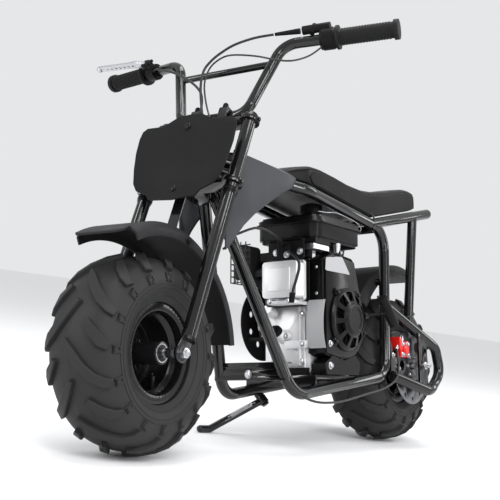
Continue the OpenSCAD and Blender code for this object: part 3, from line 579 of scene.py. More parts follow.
@dataclass
class Tyre:
    """A balloon tyre: carcass, angled tread bars and shoulder knobs, drawn about the axle.

    Attributes:
        top: the tyre's radius over the lugs.
        lug: the height of the tread bars.
        pitches: the knobs round each shoulder.
        section: radius below the top, and distance from the middle plane, from crown to bead.
    """

    top: float = 178.0
    lug: float = 8.0
    pitches: int = 16
    section: Outline = field(default_factory=lambda: [
        (0.0, 0.0), (1.6, 20.0), (6.3, 40.0), (12.0, 51.0), (21.0, 60.0), (33.0, 66.5), (48.0, 69.6),
        (63.0, 67.5), (74.0, 61.5), (81.4, 56.2),
    ])

    def _line(self) -> list[Vector]:
        """The carcass's line from the middle of the crown to the bead, as radius and distance."""
        crown = self.top - self.lug
        fine = smooth_route([(crown - drop, y, 0.0) for drop, y in self.section], 5)
        return [Vector((p.x, p.y)) for p in fine]

    def _on(self, v: float, height: float) -> Vector:
        """Radius and distance of a point at a length v along the section, lifted off the carcass."""
        side = -1.0 if v < 0 else 1.0
        line, left = self._line_cache, abs(v)
        for a, b in zip(line, line[1:]):
            step = (b - a).length
            if left <= step:
                break
            left -= step
        way = (b - a).normalized()
        out = Vector((way.y, -way.x))
        if out.x < 0 and abs(out.x) > abs(out.y):
            out = -out
        p = a + way * left + out * height
        return Vector((p.x, p.y * side))

    def _point(self, turn: float, v: float, height: float) -> Vector:
        """A point on the tyre at an angle round the axle."""
        radius, y = self._on(v, height)
        return Vector((radius * math.sin(turn), y, radius * math.cos(turn)))

    def _bar(self, shape: Shape, way: Sequence[tuple[float, float]], widths: Sequence[float],
             height: float, chamfer: float = 1.3) -> None:
        """Adds a tread bar that follows the carcass.

        Args:
            shape: the mesh it goes to.
            way: the bar's middle line, as angle round the axle and length along the section.
            widths: half its width at each point.
            height: its height.
            chamfer: how far its top is drawn in.
        """
        mean = self.top - 12.0
        rings = []
        last = len(way) - 1
        for i, (turn, v) in enumerate(way):
            a, b = way[max(i - 1, 0)], way[min(i + 1, last)]
            along = Vector(((b[0] - a[0]) * mean, b[1] - a[1])).normalized()
            across = Vector((-along.y, along.x))
            drawn = chamfer if i in (0, last) else 0.0
            ring = []
            for share, lift, inset in ((-1, -1.5, 0), (-1, height - chamfer, 0.4), (-1, height, chamfer + 0.4),
                                       (1, height, chamfer + 0.4), (1, height - chamfer, 0.4), (1, -1.5, 0)):
                pull = drawn if lift == height else 0.0
                move = across * share * (widths[i] - inset) + along * (pull if i == 0 else -pull)
                ring.append(self._point(turn + move.x / mean, v + move.y, lift))
            rings.append(ring)
        shape.ring_skin(rings)

    def carcass(self) -> Shape:
        """The casing with its sidewall ribs."""
        shape = Shape()
        half = [(p.x, p.y) for p in self._line_cache]
        inner = [(77.0, 49.0), (77.0, 34.0)]
        profile = half + [(88.6, 49.5)] + inner
        mirrored = [(r, -y) for r, y in reversed(profile[1:])]
        shape.turned(profile + mirrored, sides=128)
        for side in (-1, 1):
            for v, size in ((96.0, 1.3), (103.5, 1.0), (118.0, 1.1)):
                ring = [self._point(math.tau * k / 96, v * side, 0.0) for k in range(96)]
                shape.tube(ring, size, 6, closed=True)
        return shape

    def build(self, name: str, frame: Matrix) -> bpy.types.Object:
        """Builds the whole tyre.

        Args:
            name: the piece's name.
            frame: the wheel's frame.

        Returns:
            The tyre.
        """
        self._line_cache = self._line()
        shape = self.carcass()
        step = math.tau / self.pitches
        for i in range(self.pitches):
            for side in (-1, 1):
                start = i * step + (0.0 if side > 0 else step)
                long_bar = (i % 2 == 0)
                if long_bar:
                    way = [(start - 0.10, -7.0 * side), (start + 0.02, 8.0 * side), (start + 0.16, 26.0 * side),
                           (start + 0.27, 43.0 * side), (start + 0.345, 60.0 * side), (start + 0.37, 72.0 * side)]
                    self._bar(shape, way, [3.5, 7.5, 8.5, 9.0, 9.0, 8.0], self.lug)
                else:
                    way = [(start + 0.10, 27.0 * side), (start + 0.22, 43.0 * side), (start + 0.32, 58.0 * side),
                           (start + 0.36, 71.0 * side)]
                    self._bar(shape, way, [5.0, 8.5, 9.0, 8.0], self.lug * 0.95)
                self._knob(shape, start + 0.385, 86.0 * side)
        piece = shape.finish(name, frame, finish_of("tyre"), sharp=32)
        return piece

    def _knob(self, shape: Shape, turn: float, v: float) -> None:
        """Adds a square shoulder knob with a raised hook on it."""
        side = 1 if v > 0 else -1
        mean = self.top - 20.0
        half = 8.5
        self._bar(shape, [(turn, v - half * side), (turn, v), (turn, v + half * side)], [half, half, half * 0.94], 3.2)
        thin = 1.5
        for (u0, v0), (u1, v1) in (((-5, -5), (5, -5)), ((-5, -5), (-5, 5)), ((-5, 5), (2, 5))):
            self._bar(shape, [(turn + u0 / mean, v + v0 * side), (turn + u1 / mean, v + v1 * side)],
                      [thin, thin], 5.0, 0.5)


@dataclass
class Wheels:
    """Both wheels: tyres, and what shows on the rims, the hubs and the disc."""

    frames: Frames
    tyre: Tyre = field(default_factory=Tyre)
    hub_r: float = 20.0

    def build(self) -> None:
        """Builds the tyres and the small parts of both wheels."""
        for end, frame in (("front", self.frames.front_wheel), ("rear", self.frames.rear_wheel)):
            tyre = self.tyre.build(f"{end}_tyre_tread", frame)
            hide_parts(f"{end}_tyre")
            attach(tyre, f"{end}_wheel")
            self._hub(end, frame)
        self._disc_bolts()
        log.info("wheels: tyres, hubs, valves and bolts")

    def _hub(self, end: str, frame: Matrix) -> None:
        """Adds the hub's bolts and the valve of one wheel, and the bearing seals and rings of the front wheel."""
        outer = 60.0 if end == "front" else 82.0
        seal, ring = Shape(), Shape()
        for side in ((-1, 1) if end == "front" else ()):
            seal.turned([(6.6, side * outer), (6.6, side * (outer + 0.25)), (17.5, side * (outer + 0.25)),
                         (19.0, side * outer), (19.0, side * (outer - 1.0)), (6.6, side * (outer - 1.0))], 48)
            ring.turned([(14.8, side * outer), (14.8, side * (outer + 0.3)), (16.8, side * (outer + 0.3)),
                         (16.8, side * outer)], 48)
        if end == "front":
            place(seal, "front_bearing_seals", frame, "rim_black", "front_wheel")
            place(ring, "front_bearing_rings", frame, "steel", "front_wheel")
        bolts = Shape()
        for k in range(4):
            a = math.tau * (k + 0.5) / 4
            bolts.bolt((30.0 * math.sin(a), -10.0, 30.0 * math.cos(a)), (0, 1, 0), 5.5, 4.5)
        valve_a = math.radians(200 if end == "front" else 70)
        for r0, r1, rad in ((64.0, 40.0, 5.0), (52.0, 34.0, 3.6)):
            bolts.rod((r0 * math.sin(valve_a), 22.0, r0 * math.cos(valve_a)),
                      (r1 * math.sin(valve_a), 30.0, r1 * math.cos(valve_a)), rad, sides=16)
        piece = bolts.finish(f"{end}_rim_bolts", frame, finish_of("rim_black"))
        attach(piece, f"{end}_wheel")

    def _disc_bolts(self) -> None:
        """Adds the bolts of the brake disc and of the rear sprocket."""
        bolts = Shape()
        for k in range(6):
            a = math.tau * (k + 0.5) / 6
            x, z = 24.0 * math.sin(a), 24.0 * math.cos(a)
            bolts.bolt((x, 91.0, z), (0, 1, 0), 4.0, 3.0, washer=False)
            bolts.bolt((x, -106.5, z), (0, -1, 0), 4.0, 3.0, washer=False)
        piece = bolts.finish("rear_disc_bolts", self.frames.rear_wheel, finish_of("zinc_steel"))
        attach(piece, "rear_wheel")


# Drive


@dataclass
class Chain:
    """The roller chain, link by link, on its pitch line round the sprocket and the pinion.

    Attributes:
        pinion: the clutch sprocket's centre, ahead of the rear axle and above it.
        big_r: the rear sprocket's pitch radius.
        small_r: the clutch sprocket's pitch radius.
        middle: the chain's distance from the middle plane, on the right.
        pitch: the distance between its pins.
    """

    frames: Frames
    pinion: tuple[float, float] = (345.0, 90.0)
    big_r: float = 80.0
    small_r: float = 17.0
    middle: float = -105.0
    pitch: float = 9.525

    def _line(self) -> Callable[[float], Vector]:
        """The pitch line as a function of the length along it, and its length as an attribute."""
        run_d = math.hypot(*self.pinion)
        tilt = math.atan2(self.pinion[1], self.pinion[0])
        wrap = math.acos((self.big_r - self.small_r) / run_d)
        run = run_d * math.sin(wrap)
        big = self.big_r * (math.tau - 2 * wrap)
        small = self.small_r * 2 * wrap
        self.length = 2 * run + big + small

        def at(s: float) -> Vector:
            """Gives the point in X and Z at a length along the line."""
            def on(centre: float, r: float, a: float) -> Vector:
                """Gives a point on one of the two rounds."""
                return Vector((centre + r * math.cos(a), r * math.sin(a)))
            s = s % self.length
            if s < big:
                p = on(0, self.big_r, wrap + s / self.big_r)
            elif s < big + run:
                p = on(0, self.big_r, -wrap).lerp(on(run_d, self.small_r, -wrap), (s - big) / run)
            elif s < big + run + small:
                p = on(run_d, self.small_r, -wrap + (s - big - run) / self.small_r)
            else:
                p = on(run_d, self.small_r, wrap).lerp(on(0, self.big_r, wrap), (s - big - run - small) / run)
            return Matrix.Rotation(tilt, 2) @ p

        return at

    def build(self) -> None:
        """Builds rollers, inner plates and outer plates of every link."""
        at = self._line()
        links = 2 * round(self.length / self.pitch / 2)
        step = self.length / links
        shape = Shape()
        eye, waist = 4.1, 2.6
        for i in range(links):
            a, b = at(i * step), at((i + 1) * step)
            way = (b - a).normalized()
            out = Vector((-way.y, way.x))
            gauge = 2.3 if i % 2 else 3.1
            mid = (a + b) / 2
            outline = []
            for centre, sense in ((a, -1), (b, 1)):
                for k in range(5):
                    t = math.radians(-70 + 35 * k)
                    outline.append(centre + way * (eye * math.cos(t) * sense) + out * (eye * math.sin(t) * sense))
                outline.append(mid + out * waist * sense)
            for side in (-1, 1):
                y = self.middle + side * gauge
                low = [Vector((p.x, y - 0.4, p.y)) for p in outline]
                high = [Vector((p.x, y + 0.4, p.y)) for p in outline]
                shape.ring_skin([low, high])
            shape.rod((a.x, self.middle - 3.5, a.y), (a.x, self.middle + 3.5, a.y), 1.5, sides=8)
            shape.rod((a.x, self.middle - 2.0, a.y), (a.x, self.middle + 2.0, a.y), 2.6, sides=10)
        piece = shape.finish("roller_chain", self.frames.rear_wheel, finish_of("chain_steel"))
        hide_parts("drive_chain")
        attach(piece, "frame")
        log.info("chain: %d links", links)


# Seat


@dataclass
class Seat:
    """The seat pad: vinyl over foam, with a sewn edge round its top.

    Attributes:
        top: X and height of the upper line along the middle.
        base: X and height of the lower line.
        plan: X and half width.
    """

    frames: Frames
    top: Outline = field(default_factory=lambda: [
        (-57, 594), (-50, 610), (-20, 621), (20, 619), (70, 609), (110, 599), (180, 585), (235, 580), (300, 582),
        (360, 589), (420, 594), (453, 595), (490, 588), (512, 578), (523, 571),
    ])
    base: Outline = field(default_factory=lambda: [
        (-57, 588), (-45, 577), (-20, 567), (190, 518), (212, 518.8), (430, 544.6), (470, 549.5), (523, 558),
    ])
    plan: Outline = field(default_factory=lambda: [
        (-57, 56), (-50, 80), (-28, 92), (0, 93.5), (420, 93.5), (470, 88), (505, 70), (523, 55),
    ])

    @staticmethod
    def _along(line: Outline, x: float) -> float:
        """Value of a line at a place along the bike."""
        for (x0, v0), (x1, v1) in zip(line, line[1:]):
            if x <= x1:
                t = (x - x0) / (x1 - x0)
                return v0 + (v1 - v0) * max(0.0, min(1.0, t))
        return line[-1][1]

    def build(self) -> None:
        """Lofts the pad, sews its edge and lays the side panels on it."""
        shape = Shape()
        sections = 72
        rings = []
        seam: list[list[Vector]] = [[], []]
        for i in range(sections + 1):
            x = -57 + 580 * (i / sections)
            half, low, high = (self._along(line, x) for line in (self.plan, self.base, self.top))
            rise = high - low
            soft = min(15.0, rise * 0.4)
            ring = [Vector((x, y, low)) for y in (-half * 0.5, -half + 5)]
            ring += [Vector((x, -half + 1, low + 3)), Vector((x, -half - 1.2 + 1, low + rise * 0.35)),
                     Vector((x, -half, high - soft - 3))]
            for k in range(7):
                a = math.radians(15 * k)
                ring.append(Vector((x, -half + soft * (1 - math.cos(a)), high - soft * (1 - math.sin(a)) - 2.5)))
            ring += [Vector((x, -half * 0.55, high - 0.7)), Vector((x, -half * 0.25, high))]
            ring += [Vector((x, -p.y, p.z)) for p in reversed(ring)]
            rings.append(ring)
            for side, line in zip((-1, 1), seam):
                line.append(Vector((x, side * (half - soft * 0.12), high - soft * 0.55 - 2.5)))
        shape.ring_skin(rings)
        pad = shape.finish("seat_pad", self.frames.bike, finish_of("seat_vinyl"), sharp=60)
        soften = pad.modifiers.new("soft form", "SUBSURF")
        soften.levels = soften.render_levels = 1
        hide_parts("seat")
        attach(pad, "frame")
        piping = Shape()
        for line in seam:
            piping.tube(line[2:-2], 1.2, 8)
        edge = piping.finish("seat_piping", self.frames.bike, finish_of("seat_vinyl"))
        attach(edge, "frame")
        self._side_panels()
        log.info("seat: pad, piping and side panels")

    def _side_panels(self) -> None:
        """Lays the duller vinyl panels on the pad's sides, round at their front corners."""
        start, end, corner, steps = -40.0, 462.0, 16.0, 60
        shape = Shape()
        for side in (-1, 1):
            rings = []
            for i in range(steps + 1):
                x = start + (end - start) * math.sin(math.pi / 2 * i / steps)
                half, low, high = (self._along(line, x) for line in (self.plan, self.base, self.top))
                near = max(0.0, x - (end - corner)) / corner
                drawn = corner * (1.0 - math.sqrt(max(0.0, 1.0 - near * near)))
                bottom, top = low + 4.0 + drawn, high - 15.0 - drawn
                rings.append([Vector((x, side * y, z)) for y, z in (
                    (half - 1.0, bottom), (half + 1.5, bottom), (half + 1.7, (bottom + top) / 2),
                    (half + 0.9, top), (half - 1.0, top))])
            shape.ring_skin(rings)
        place(shape, "seat_side_panels", self.frames.bike, "seat_side_vinyl", "frame", 0.7)


# Cables


@dataclass
class Cables:
    """The throttle cable and the brake hose, each in an upper length on the steering and a lower one."""

    frames: Frames
    radius: float = 2.6
    upper_throttle: Sequence[Point] = (
        (48.6, 110, 347.8), (62, 75, 335), (74, 41, 315), (78, 16, 296), (78, -4, 278), (76, -17, 255),
        (70, -16, 216), (62, 3, 150))
    stop_wire: Sequence[Point] = (
        (19.9, 212, 320.2), (22, 210, 312), (34, 195, 285), (52, 172, 264), (60, 137, 268), (66, 93, 281),
        (66, 33, 296), (66, 4, 290), (64, -15, 271), (60, -19, 236), (56, -3, 188), (54, 16, 150))
    upper_hose: Sequence[Point] = (
        (28.5, -203.8, 331.9), (40, -186, 325), (46, -162, 312), (54, -116, 289), (60, -62, 253),
        (62, -23, 217), (58, -12, 188), (54, -10, 150))
    lower_hose: Sequence[Point] = (
        (690, 30, 420), (672, 50, 380), (640, 66, 300), (600, 84, 210), (560, 96, 130), (500, 108, 96),
        (400, 110, 92), (280, 110, 108), (190, 116, 124), (140, 121, 148), (115, 112, 188), (101.6, 101, 215))
    plug_lead: Sequence[Point] = (
        (470, 33, 428), (484, 48, 408), (500, 80, 384), (505, 86, 366), (500, 76, 344), (497, 66, 322), (492, 60, 303))
    lower_throttle: Sequence[Point] = (
        (660, 40, 420), (600, 52, 440), (520, 46, 430), (460, 20, 420), (426, -10, 404))

    def _cord(self, name: str, route: Sequence[Point], frame: Matrix, body: str, node: str = "",
              thin: float = 1.0, steps: int = 5) -> None:
        """Lays one cord along its route.

        Args:
            name: the piece's name.
            route: the hand-chosen points of the construction's cord.
            frame: the frame they are in.
            body: the body it moves with.
            node: the construction's node that it stands for, if any.
            thin: its share of the common radius.
            steps: the steps between each two points.
        """
        radius = self.radius * thin
        points = [frame @ p for p in smooth_route(route, steps)]
        data = bpy.data.curves.new(name, "CURVE")
        data.dimensions = "3D"
        data.bevel_depth = radius * MM
        data.bevel_resolution = 4
        data.use_fill_caps = True
        spline = data.splines.new("POLY")
        spline.points.add(len(points) - 1)
        for slot, p in zip(spline.points, points):
            slot.co = (*p, 1.0)
        data.materials.append(finish_of("hose_rubber"))
        piece = bpy.data.objects.new(name, data)
        bpy.context.scene.collection.objects.link(piece)
        if node:
            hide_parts(node)
        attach(piece, body)
        length = sum((b - a).length for a, b in zip(points, points[1:]))
        tuple(points[0])

    def build(self) -> None:
        """Lays all lengths."""
        steering, bike = self.frames.steering, self.frames.bike
        self._cord("throttle_cable_upper", self.upper_throttle, steering, "steering", "bar_cables")
        self._cord("brake_hose_upper", self.upper_hose, steering, "steering", "bar_cables")
        self._cord("brake_hose_lower", self.lower_hose, bike, "frame", "brake_hose")
        self._cord("throttle_cable_lower", self.lower_throttle, bike, "frame", "throttle_cable")
        self._cord("stop_switch_wire", self.stop_wire, steering, "steering", "bar_cables", 0.7, 4)
        self._cord("plug_lead", self.plug_lead, bike, "frame", thin=1.2)
        log.info("cables: six lengths")


# Engine


@dataclass
class Engine:
    """What the photograph shows on the engine beyond its castings' main forms.

    Attributes:
        crank: X and height of the crankshaft, the middle of the fan housing and the starter.
    """

    frames: Frames
    crank: tuple[float, float] = (345.0, 268.0)

    def build(self) -> None:
        """Adds every group of details."""
        self._starter()
        self._housing()
        self._castings()
        self._under_tank()
        log.info("engine: starter, housing, castings and tank fittings")

    def _starter(self) -> None:
        """Draws the starter's dish with its windows, and the fan behind them."""
        x, z = self.crank
        rings = [(69.0, 104.3), (69.0, 109.0), (66.5, 112.5), (61.0, 116.0), (40.0, 123.5), (35.0, 125.5),
                 (33.0, 129.0), (30.0, 130.0), (27.0, 129.6), (26.0, 127.4), (1.0, 127.4)]
        sectors, parts = 10, 6
        shape = Shape()
        made = []
        for r, y in rings:
            made.append([shape.mesh.verts.new((x + r * math.cos(a), y, z + r * math.sin(a)))
                         for a in (math.tau * k / (sectors * parts) for k in range(sectors * parts))])
        for j, (low, high) in enumerate(zip(made, made[1:])):
            for k in range(len(low)):
                if j == 3 and k % parts < parts - 2:
                    continue
                n = (k + 1) % len(low)
                shape.mesh.faces.new((low[k], low[n], high[n], high[k]))
        shape.mesh.faces.new(made[-1])
        dish = shape.finish("starter_dish", self.frames.bike, finish_of("engine_black"), 32)
        wall = dish.modifiers.new("wall", "SOLIDIFY")
        wall.thickness = 2.4 * MM
        wall.offset = -1.0
        edge = dish.modifiers.new("edges", "BEVEL")
        edge.width, edge.segments, edge.limit_method = 0.6 * MM, 2, "ANGLE"
        edge.angle_limit = math.radians(34)
        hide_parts("recoil_cover")
        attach(dish, "frame")
        fan = Shape()
        place_fan = Matrix.Translation((x, 0, z))
        fan.turned([(61.0, 104.2), (61.0, 106.0), (26.0, 108.0), (26.0, 104.2)], 48, place=place_fan)
        for k in range(20):
            turn = Matrix.Translation((x, 0, z)) @ Matrix.Rotation(math.tau * k / 20, 4, "Y")
            fan.block((30.0, 105.0, -1.0), (58.0, 112.5, 1.0), turn)
        place(fan, "starter_fan", self.frames.bike, "black_plastic", "frame")
        ears = Shape()
        bolts = Shape()
        for turn in (52, 128, 200, 318):
            a = math.radians(turn)
            ex, ez = x + 73.0 * math.cos(a), z + 73.0 * math.sin(a)
            ears.rod((ex, 103.8, ez), (ex, 109.0, ez), 9.0, sides=24)
            bolts.bolt((ex, 109.0, ez), (0, 1, 0), 5.0, 4.0)
        guide = math.radians(190)
        gx, gz = x + 69.0 * math.cos(guide), z + 69.0 * -math.sin(guide)
        ears.rod((gx + 6, 112, gz), (gx - 12, 112, gz + 2), 8.0, 6.5, sides=20)
        place(ears, "starter_ears", self.frames.bike, "engine_black", "frame", 0.6)
        place(bolts, "starter_bolts", self.frames.bike, "engine_black", "frame")

    def _housing(self) -> None:
        """Adds the fan housing's blank silver plates, its rolled edge, and the black foot below it."""
        plates = Shape()
        centre_x, centre_z, bend = 303.6, 255.0, 140.0
        outer, inner = [], []
        for k in range(17):
            z = 204.0 + 102.0 * k / 16
            reach = math.sqrt(bend * bend - (z - centre_z) ** 2)
            outer.append((centre_x + reach, z))
            inner.append((centre_x + reach - 1.2, z))
        stand = Matrix.Translation((0, 105.5, 0)) @ Matrix.Rotation(math.radians(90), 4, "X")
        plates.prism(outer + inner[::-1], 41.5, stand)
        corners = [(431.0, 368.0), (428.0, 396.0), (360.0, 404.5), (326.0, 368.0)]
        plates.prism(rounded_outline(corners, 5.0), 1.0, Matrix.Translation((0, 105.3, 0))
                     @ Matrix.Rotation(math.radians(90), 4, "X"))
        place(plates, "blank_silver_plates", self.frames.bike, "plate_steel", "frame", 0.3)
        rims = Shape()
        edge = [(365, 180), (433, 194), (433, 392), (385, 410), (305, 404), (257, 268)]
        rims.tube([(x, 99.0, z) for x, z in rounded_outline(edge, 9.0, 4)], 1.6, 8, closed=True)
        rims.tube([(x, 65.0, z) for x, z in rounded_outline(edge, 9.0, 4)], 1.6, 8, closed=True)
        foot = [(286, 150), (424, 150), (430, 172), (398, 190), (352, 180), (300, 192), (280, 176)]
        rims.prism(foot, 34.0, Matrix.Translation((0, 102, 0)) @ Matrix.Rotation(math.radians(90), 4, "X"))
        place(rims, "fan_housing_edges", self.frames.bike, "engine_black", "frame", 1.2)
        bolts = Shape()
        bolts.bolt((413.7, 104, 214), (0, 1, 0), 5.0, 4.0)
        bolts.bolt((410, 102, 168), (0, 1, 0), 5.5, 4.5)
        for z in (320.0, 376.0):
            bolts.bolt((433, 84, z), (1, 0, 0), 3.6, 2.4, washer=False)
        place(bolts, "fan_housing_bolts", self.frames.bike, "zinc_steel", "frame")

    def _castings(self) -> None:
        """Adds ribs, flanges, bosses and bolts to the bare castings."""
        alloy = Shape()
        alloy.block((431.5, -4, 296), (489, 62, 303))
        for y in (3.0, 51.0):
            alloy.rod((470, y, 301), (492, y, 301), 6.5, sides=24)
        alloy.block((424, -40, 235), (430.5, 6, 245))
        alloy.rod((420, 5, 232), (434.5, 5, 232), 8.5, sides=28)
        alloy.block((422, 36, 168), (429.5, 41, 300))
        alloy.block((422, 48, 160), (428.5, 51, 318))
        for z in (178.0, 214.0, 278.0):
            alloy.rod((420, 45, z), (431, 45, z), 6.0, sides=24)
        for y in (-40.0, -26.0):
            alloy.block((422, y, 168), (428.0, y + 3.5, 222))
        alloy.rod((427, -30, 283), (452, -30, 291), 13.0, 11.0, 28)
        alloy.block((491.0, 0, 323), (494.5, 55, 372))
        place(alloy, "casting_ribs", self.frames.bike, "cast_alloy", "frame", 1.0)
        bolts = Shape()
        for y in (3.0, 51.0):
            bolts.bolt((492, y, 301), (1, 0, 0), 4.2, 3.4)
        for z in (178.0, 214.0, 278.0):
            bolts.bolt((431, 45, z), (1, 0, 0), 4.2, 3.2)
        bolts.bolt((434.5, 5, 232), (1, 0, 0), 4.4, 2.8)
        for y, z in ((-15, 307), (70, 307), (-15, 386), (70, 386)):
            bolts.bolt((463, y, z), (1, 0, 0), 3.4, 2.6, washer=False)
        place(bolts, "casting_bolts", self.frames.bike, "zinc_steel", "frame")
        cap = Shape()
        cap.rod((446, -8, 240), (454, -8, 244.5), 13.5, 12.5, 28)
        cap.block((450, -11, 236), (460, -5, 254))
        cap.block((424, -46, 149), (440, 60, 164))
        place(cap, "oil_filler_cap", self.frames.bike, "black_plastic", "frame", 1.0)

    def _under_tank(self) -> None:
        """Adds the linkage plate, the carburettor's controls and the cap's tether."""
        dark = Shape()
        dark.block((466, -14, 393), (470, 76, 434))
        dark.block((440, -10, 430), (470, 70, 436))
        dark.block((390, 66, 425), (452, 94, 436))
        dark.rod((486, 22, 436), (486, 22, 396), 3.0, sides=16)
        dark.rod((470, 36, 424), (484, 46, 410), 7.0, 5.0, 20)
        dark.rod((497, 64, 316), (490, 58, 298), 6.5, 5.5, 20)
        place(dark, "linkage_plate", self.frames.bike, "black_plastic", "frame", 0.8)
        bright = Shape()
        bright.block((392, 70, 413), (456, 92, 424.5))
        bright.rod((352, 88, 436), (352, 88, 414), 8.0, 6.5, 24)
        bright.rod((352, 88, 420), (352, 100, 414), 3.5, sides=16)
        for at in ((470, 5.7, 408), (470, 66.5, 407), (470, 33, 402)):
            bright.bolt(at, (1, 0, 0), 5.2, 3.2)
        place(bright, "linkage_bolts", self.frames.bike, "steel", "frame", 0.6)
        tether = Shape()
        route = [(408, 60, 499), (425, 82, 498), (404, 95, 497), (372, 97, 501), (338, 97, 499.5), (300, 97, 496),
                 (270, 97, 490), (256, 96, 482), (254, 92, 476)]
        tether.tube(smooth_route(route, 6), 0.9, 8)
        place(tether, "cap_tether", self.frames.bike, "zinc_steel", "frame")


# Steering


@dataclass
class Controls:
    """Lever, grips, clamps, number plate screws and the fork's small parts, in the steering's frame."""

    frames: Frames
    grip_end: Point = (-12.0, 351.0, 358.0)
    grip_bend: Point = (32.0, 128.0, 331.0)
    grip_length: float = 118.0

    def _line(self, side: int) -> tuple[Vector, Vector]:
        """The outer end of a grip and the way out along it, on the left or the right."""
        end, bend = Vector(self.grip_end), Vector(self.grip_bend)
        end.y, bend.y = end.y * side, bend.y * side
        return end, (end - bend).normalized()

    def build(self) -> None:
        """Adds every group of parts."""
        self._grips()
        self._lever()
        self._clamps()
        self._plate()
        self._legs()
        log.info("controls: grips, lever, clamps, plate screws and fork parts")

    def _grips(self) -> None:
        """Adds the grips' ribs and the screws of the throttle housing."""
        ribs = Shape()
        for side in (-1, 1):
            end, way = self._line(side)
            for k in range(17):
                start = end - way * (self.grip_length - 10 - k * 5.8)
                ribs.rod(tuple(start), tuple(start + way * 3.2), 17.1, sides=28)
        place(ribs, "grip_ribs", self.frames.steering, "grip_rubber", "steering", 0.8)
        dark = Shape()
        end, way = self._line(1)
        inner = end - way * (self.grip_length + 6)
        dark.rod(tuple(inner), tuple(inner - way * 22), 22.4, sides=36)
        dark.rod((34, 190, 345), (30, 190, 370), 6.0, sides=20)
        place(dark, "throttle_band", self.frames.steering, "black_plastic", "steering", 0.8)

    def _lever(self) -> None:
        """Draws the drilled lever blade with its ball, and its perch."""
        end, way = self._line(-1)
        start = end - way * self.grip_length
        turn = math.atan2(way.y, way.x)
        seat = (Matrix.Translation(start) @ Matrix.Rotation(turn, 4, "Z")
                @ Matrix.Rotation(-math.asin(way.z), 4, "Y"))
        outline = rounded_outline([(-30, 18), (-28, 32), (-6, 43), (24, 45.5), (108, 58), (118, 58), (120, 48),
                                   (112, 45.5), (30, 33), (4, 27), (-10, 18)], 7.0, 4)
        data = bpy.data.curves.new("brake_lever_blade", "CURVE")
        data.dimensions = "2D"
        data.fill_mode = "BOTH"
        data.extrude = 2.4
        data.bevel_depth = 0.8
        data.bevel_resolution = 2
        holes = [((12 + 13.0 * k, 35.6 + 1.85 * k), 3.6 - 0.12 * k) for k in range(7)]
        rounds = [[(x + r * math.cos(a), y + r * math.sin(a)) for a in (math.tau * k / 20 for k in range(20))]
                  for (x, y), r in holes]
        for loop in [outline] + rounds:
            spline = data.splines.new("POLY")
            spline.points.add(len(loop) - 1)
            spline.use_cyclic_u = True
            for knot, (x, y) in zip(spline.points, loop):
                knot.co = (x, y, 0.0, 1.0)
        source = bpy.data.objects.new("brake_lever_outline", data)
        bpy.context.scene.collection.objects.link(source)
        bpy.context.view_layer.update()
        mesh = bpy.data.meshes.new_from_object(source.evaluated_get(bpy.context.evaluated_depsgraph_get()))
        bpy.data.objects.remove(source)
        shape = Shape()
        shape.mesh.from_mesh(mesh)
        bmesh.ops.remove_doubles(shape.mesh, verts=shape.mesh.verts, dist=0.01)
        shape.mesh.transform(seat @ Matrix.Translation((0, 0, 1.5)))
        ball = seat @ Vector((116, 52, 1.5))
        bmesh.ops.create_uvsphere(shape.mesh, u_segments=24, v_segments=14, radius=7.6,
                                  matrix=Matrix.Translation(ball))
        blade = place(shape, "brake_lever_blade", self.frames.steering, "lever_alloy", "steering")
        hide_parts("brake_lever")
        perch = Shape()
        perch.rod(tuple(start - way * 34), tuple(start - way * 10), 17.8, sides=36)
        perch.block((-36, 12, -5), (-14, 34, 8), seat)
        perch.rod(tuple(seat @ Vector((-22, 28, -7))), tuple(seat @ Vector((-22, 28, 10))), 5.0, sides=20)
        perch.rod(tuple(seat @ Vector((-30, 30, 1.5))), tuple(seat @ Vector((-50, 33, 1.5))), 5.0, 3.6, 20)
        piece = place(perch, "brake_lever_perch", self.frames.steering, "black_plastic", "steering", 1.2)
        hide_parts("brake_lever")

    def _clamps(self) -> None:
        """Adds the cap screws of the bar clamps and of the fork's clamps."""
        screws = Shape()
        for side in (-1, 1):
            for x in (13.0, 39.0):
                screws.rod((x, side * 34, 182.5), (x, side * 34, 191.0), 5.6, sides=24)
                screws.rod((x, side * 34, 190.0), (x, side * 34, 194.0), 3.4, 2.8, 12)
            for z in (0.0, 144.0):
                screws.bolt((35, side * 119.5, z), (0, side, 0), 4.6, 4.0, washer=False)
            screws.rod((35, side * 100, 157.5), (35, side * 100, 161.0), 11.0, 9.6, 28)
        screws.rod((0, 0, 148), (0, 0, 160), 15.0, 14.0, 6)
        place(screws, "clamp_screws", self.frames.steering, "engine_black", "steering", 0.6)

    def _plate(self) -> None:
        """Adds the blank number plate's two screws."""
        tilt = Matrix.Translation((76, 0, 0)) @ Matrix.Rotation(math.radians(5.3), 4, "Y")
        screws = Shape()
        for z in (-30.0, 106.0):
            at = tilt @ Vector((4.0, 0, z))
            out = tilt.to_3x3() @ Vector((1, 0, 0))
            screws.tube([at, at + out * 1.6, at + out * 3.0, at + out * 3.6], [7.0, 7.0, 5.6, 3.2], 24)
        place(screws, "plate_screws", self.frames.steering, "engine_black", "steering")

    def _legs(self) -> None:
        """Adds the fork legs' bands and a bolt on each leg."""
        bands = Shape()
        for side in (-1, 1):
            for z, high, r in ((-14.0, 8.0, 15.2), (-22.0, 5.0, 14.2), (-322.0, 6.0, 14.6)):
                bands.rod((35, side * 100, z), (35, side * 100, z - high), r, sides=36)
            bands.bolt((50, side * 100, -18), (1, 0, 0), 3.6, 3.0, washer=False)
        place(bands, "fork_bands", self.frames.steering, "engine_black", "steering", 0.5)


# Frame and body


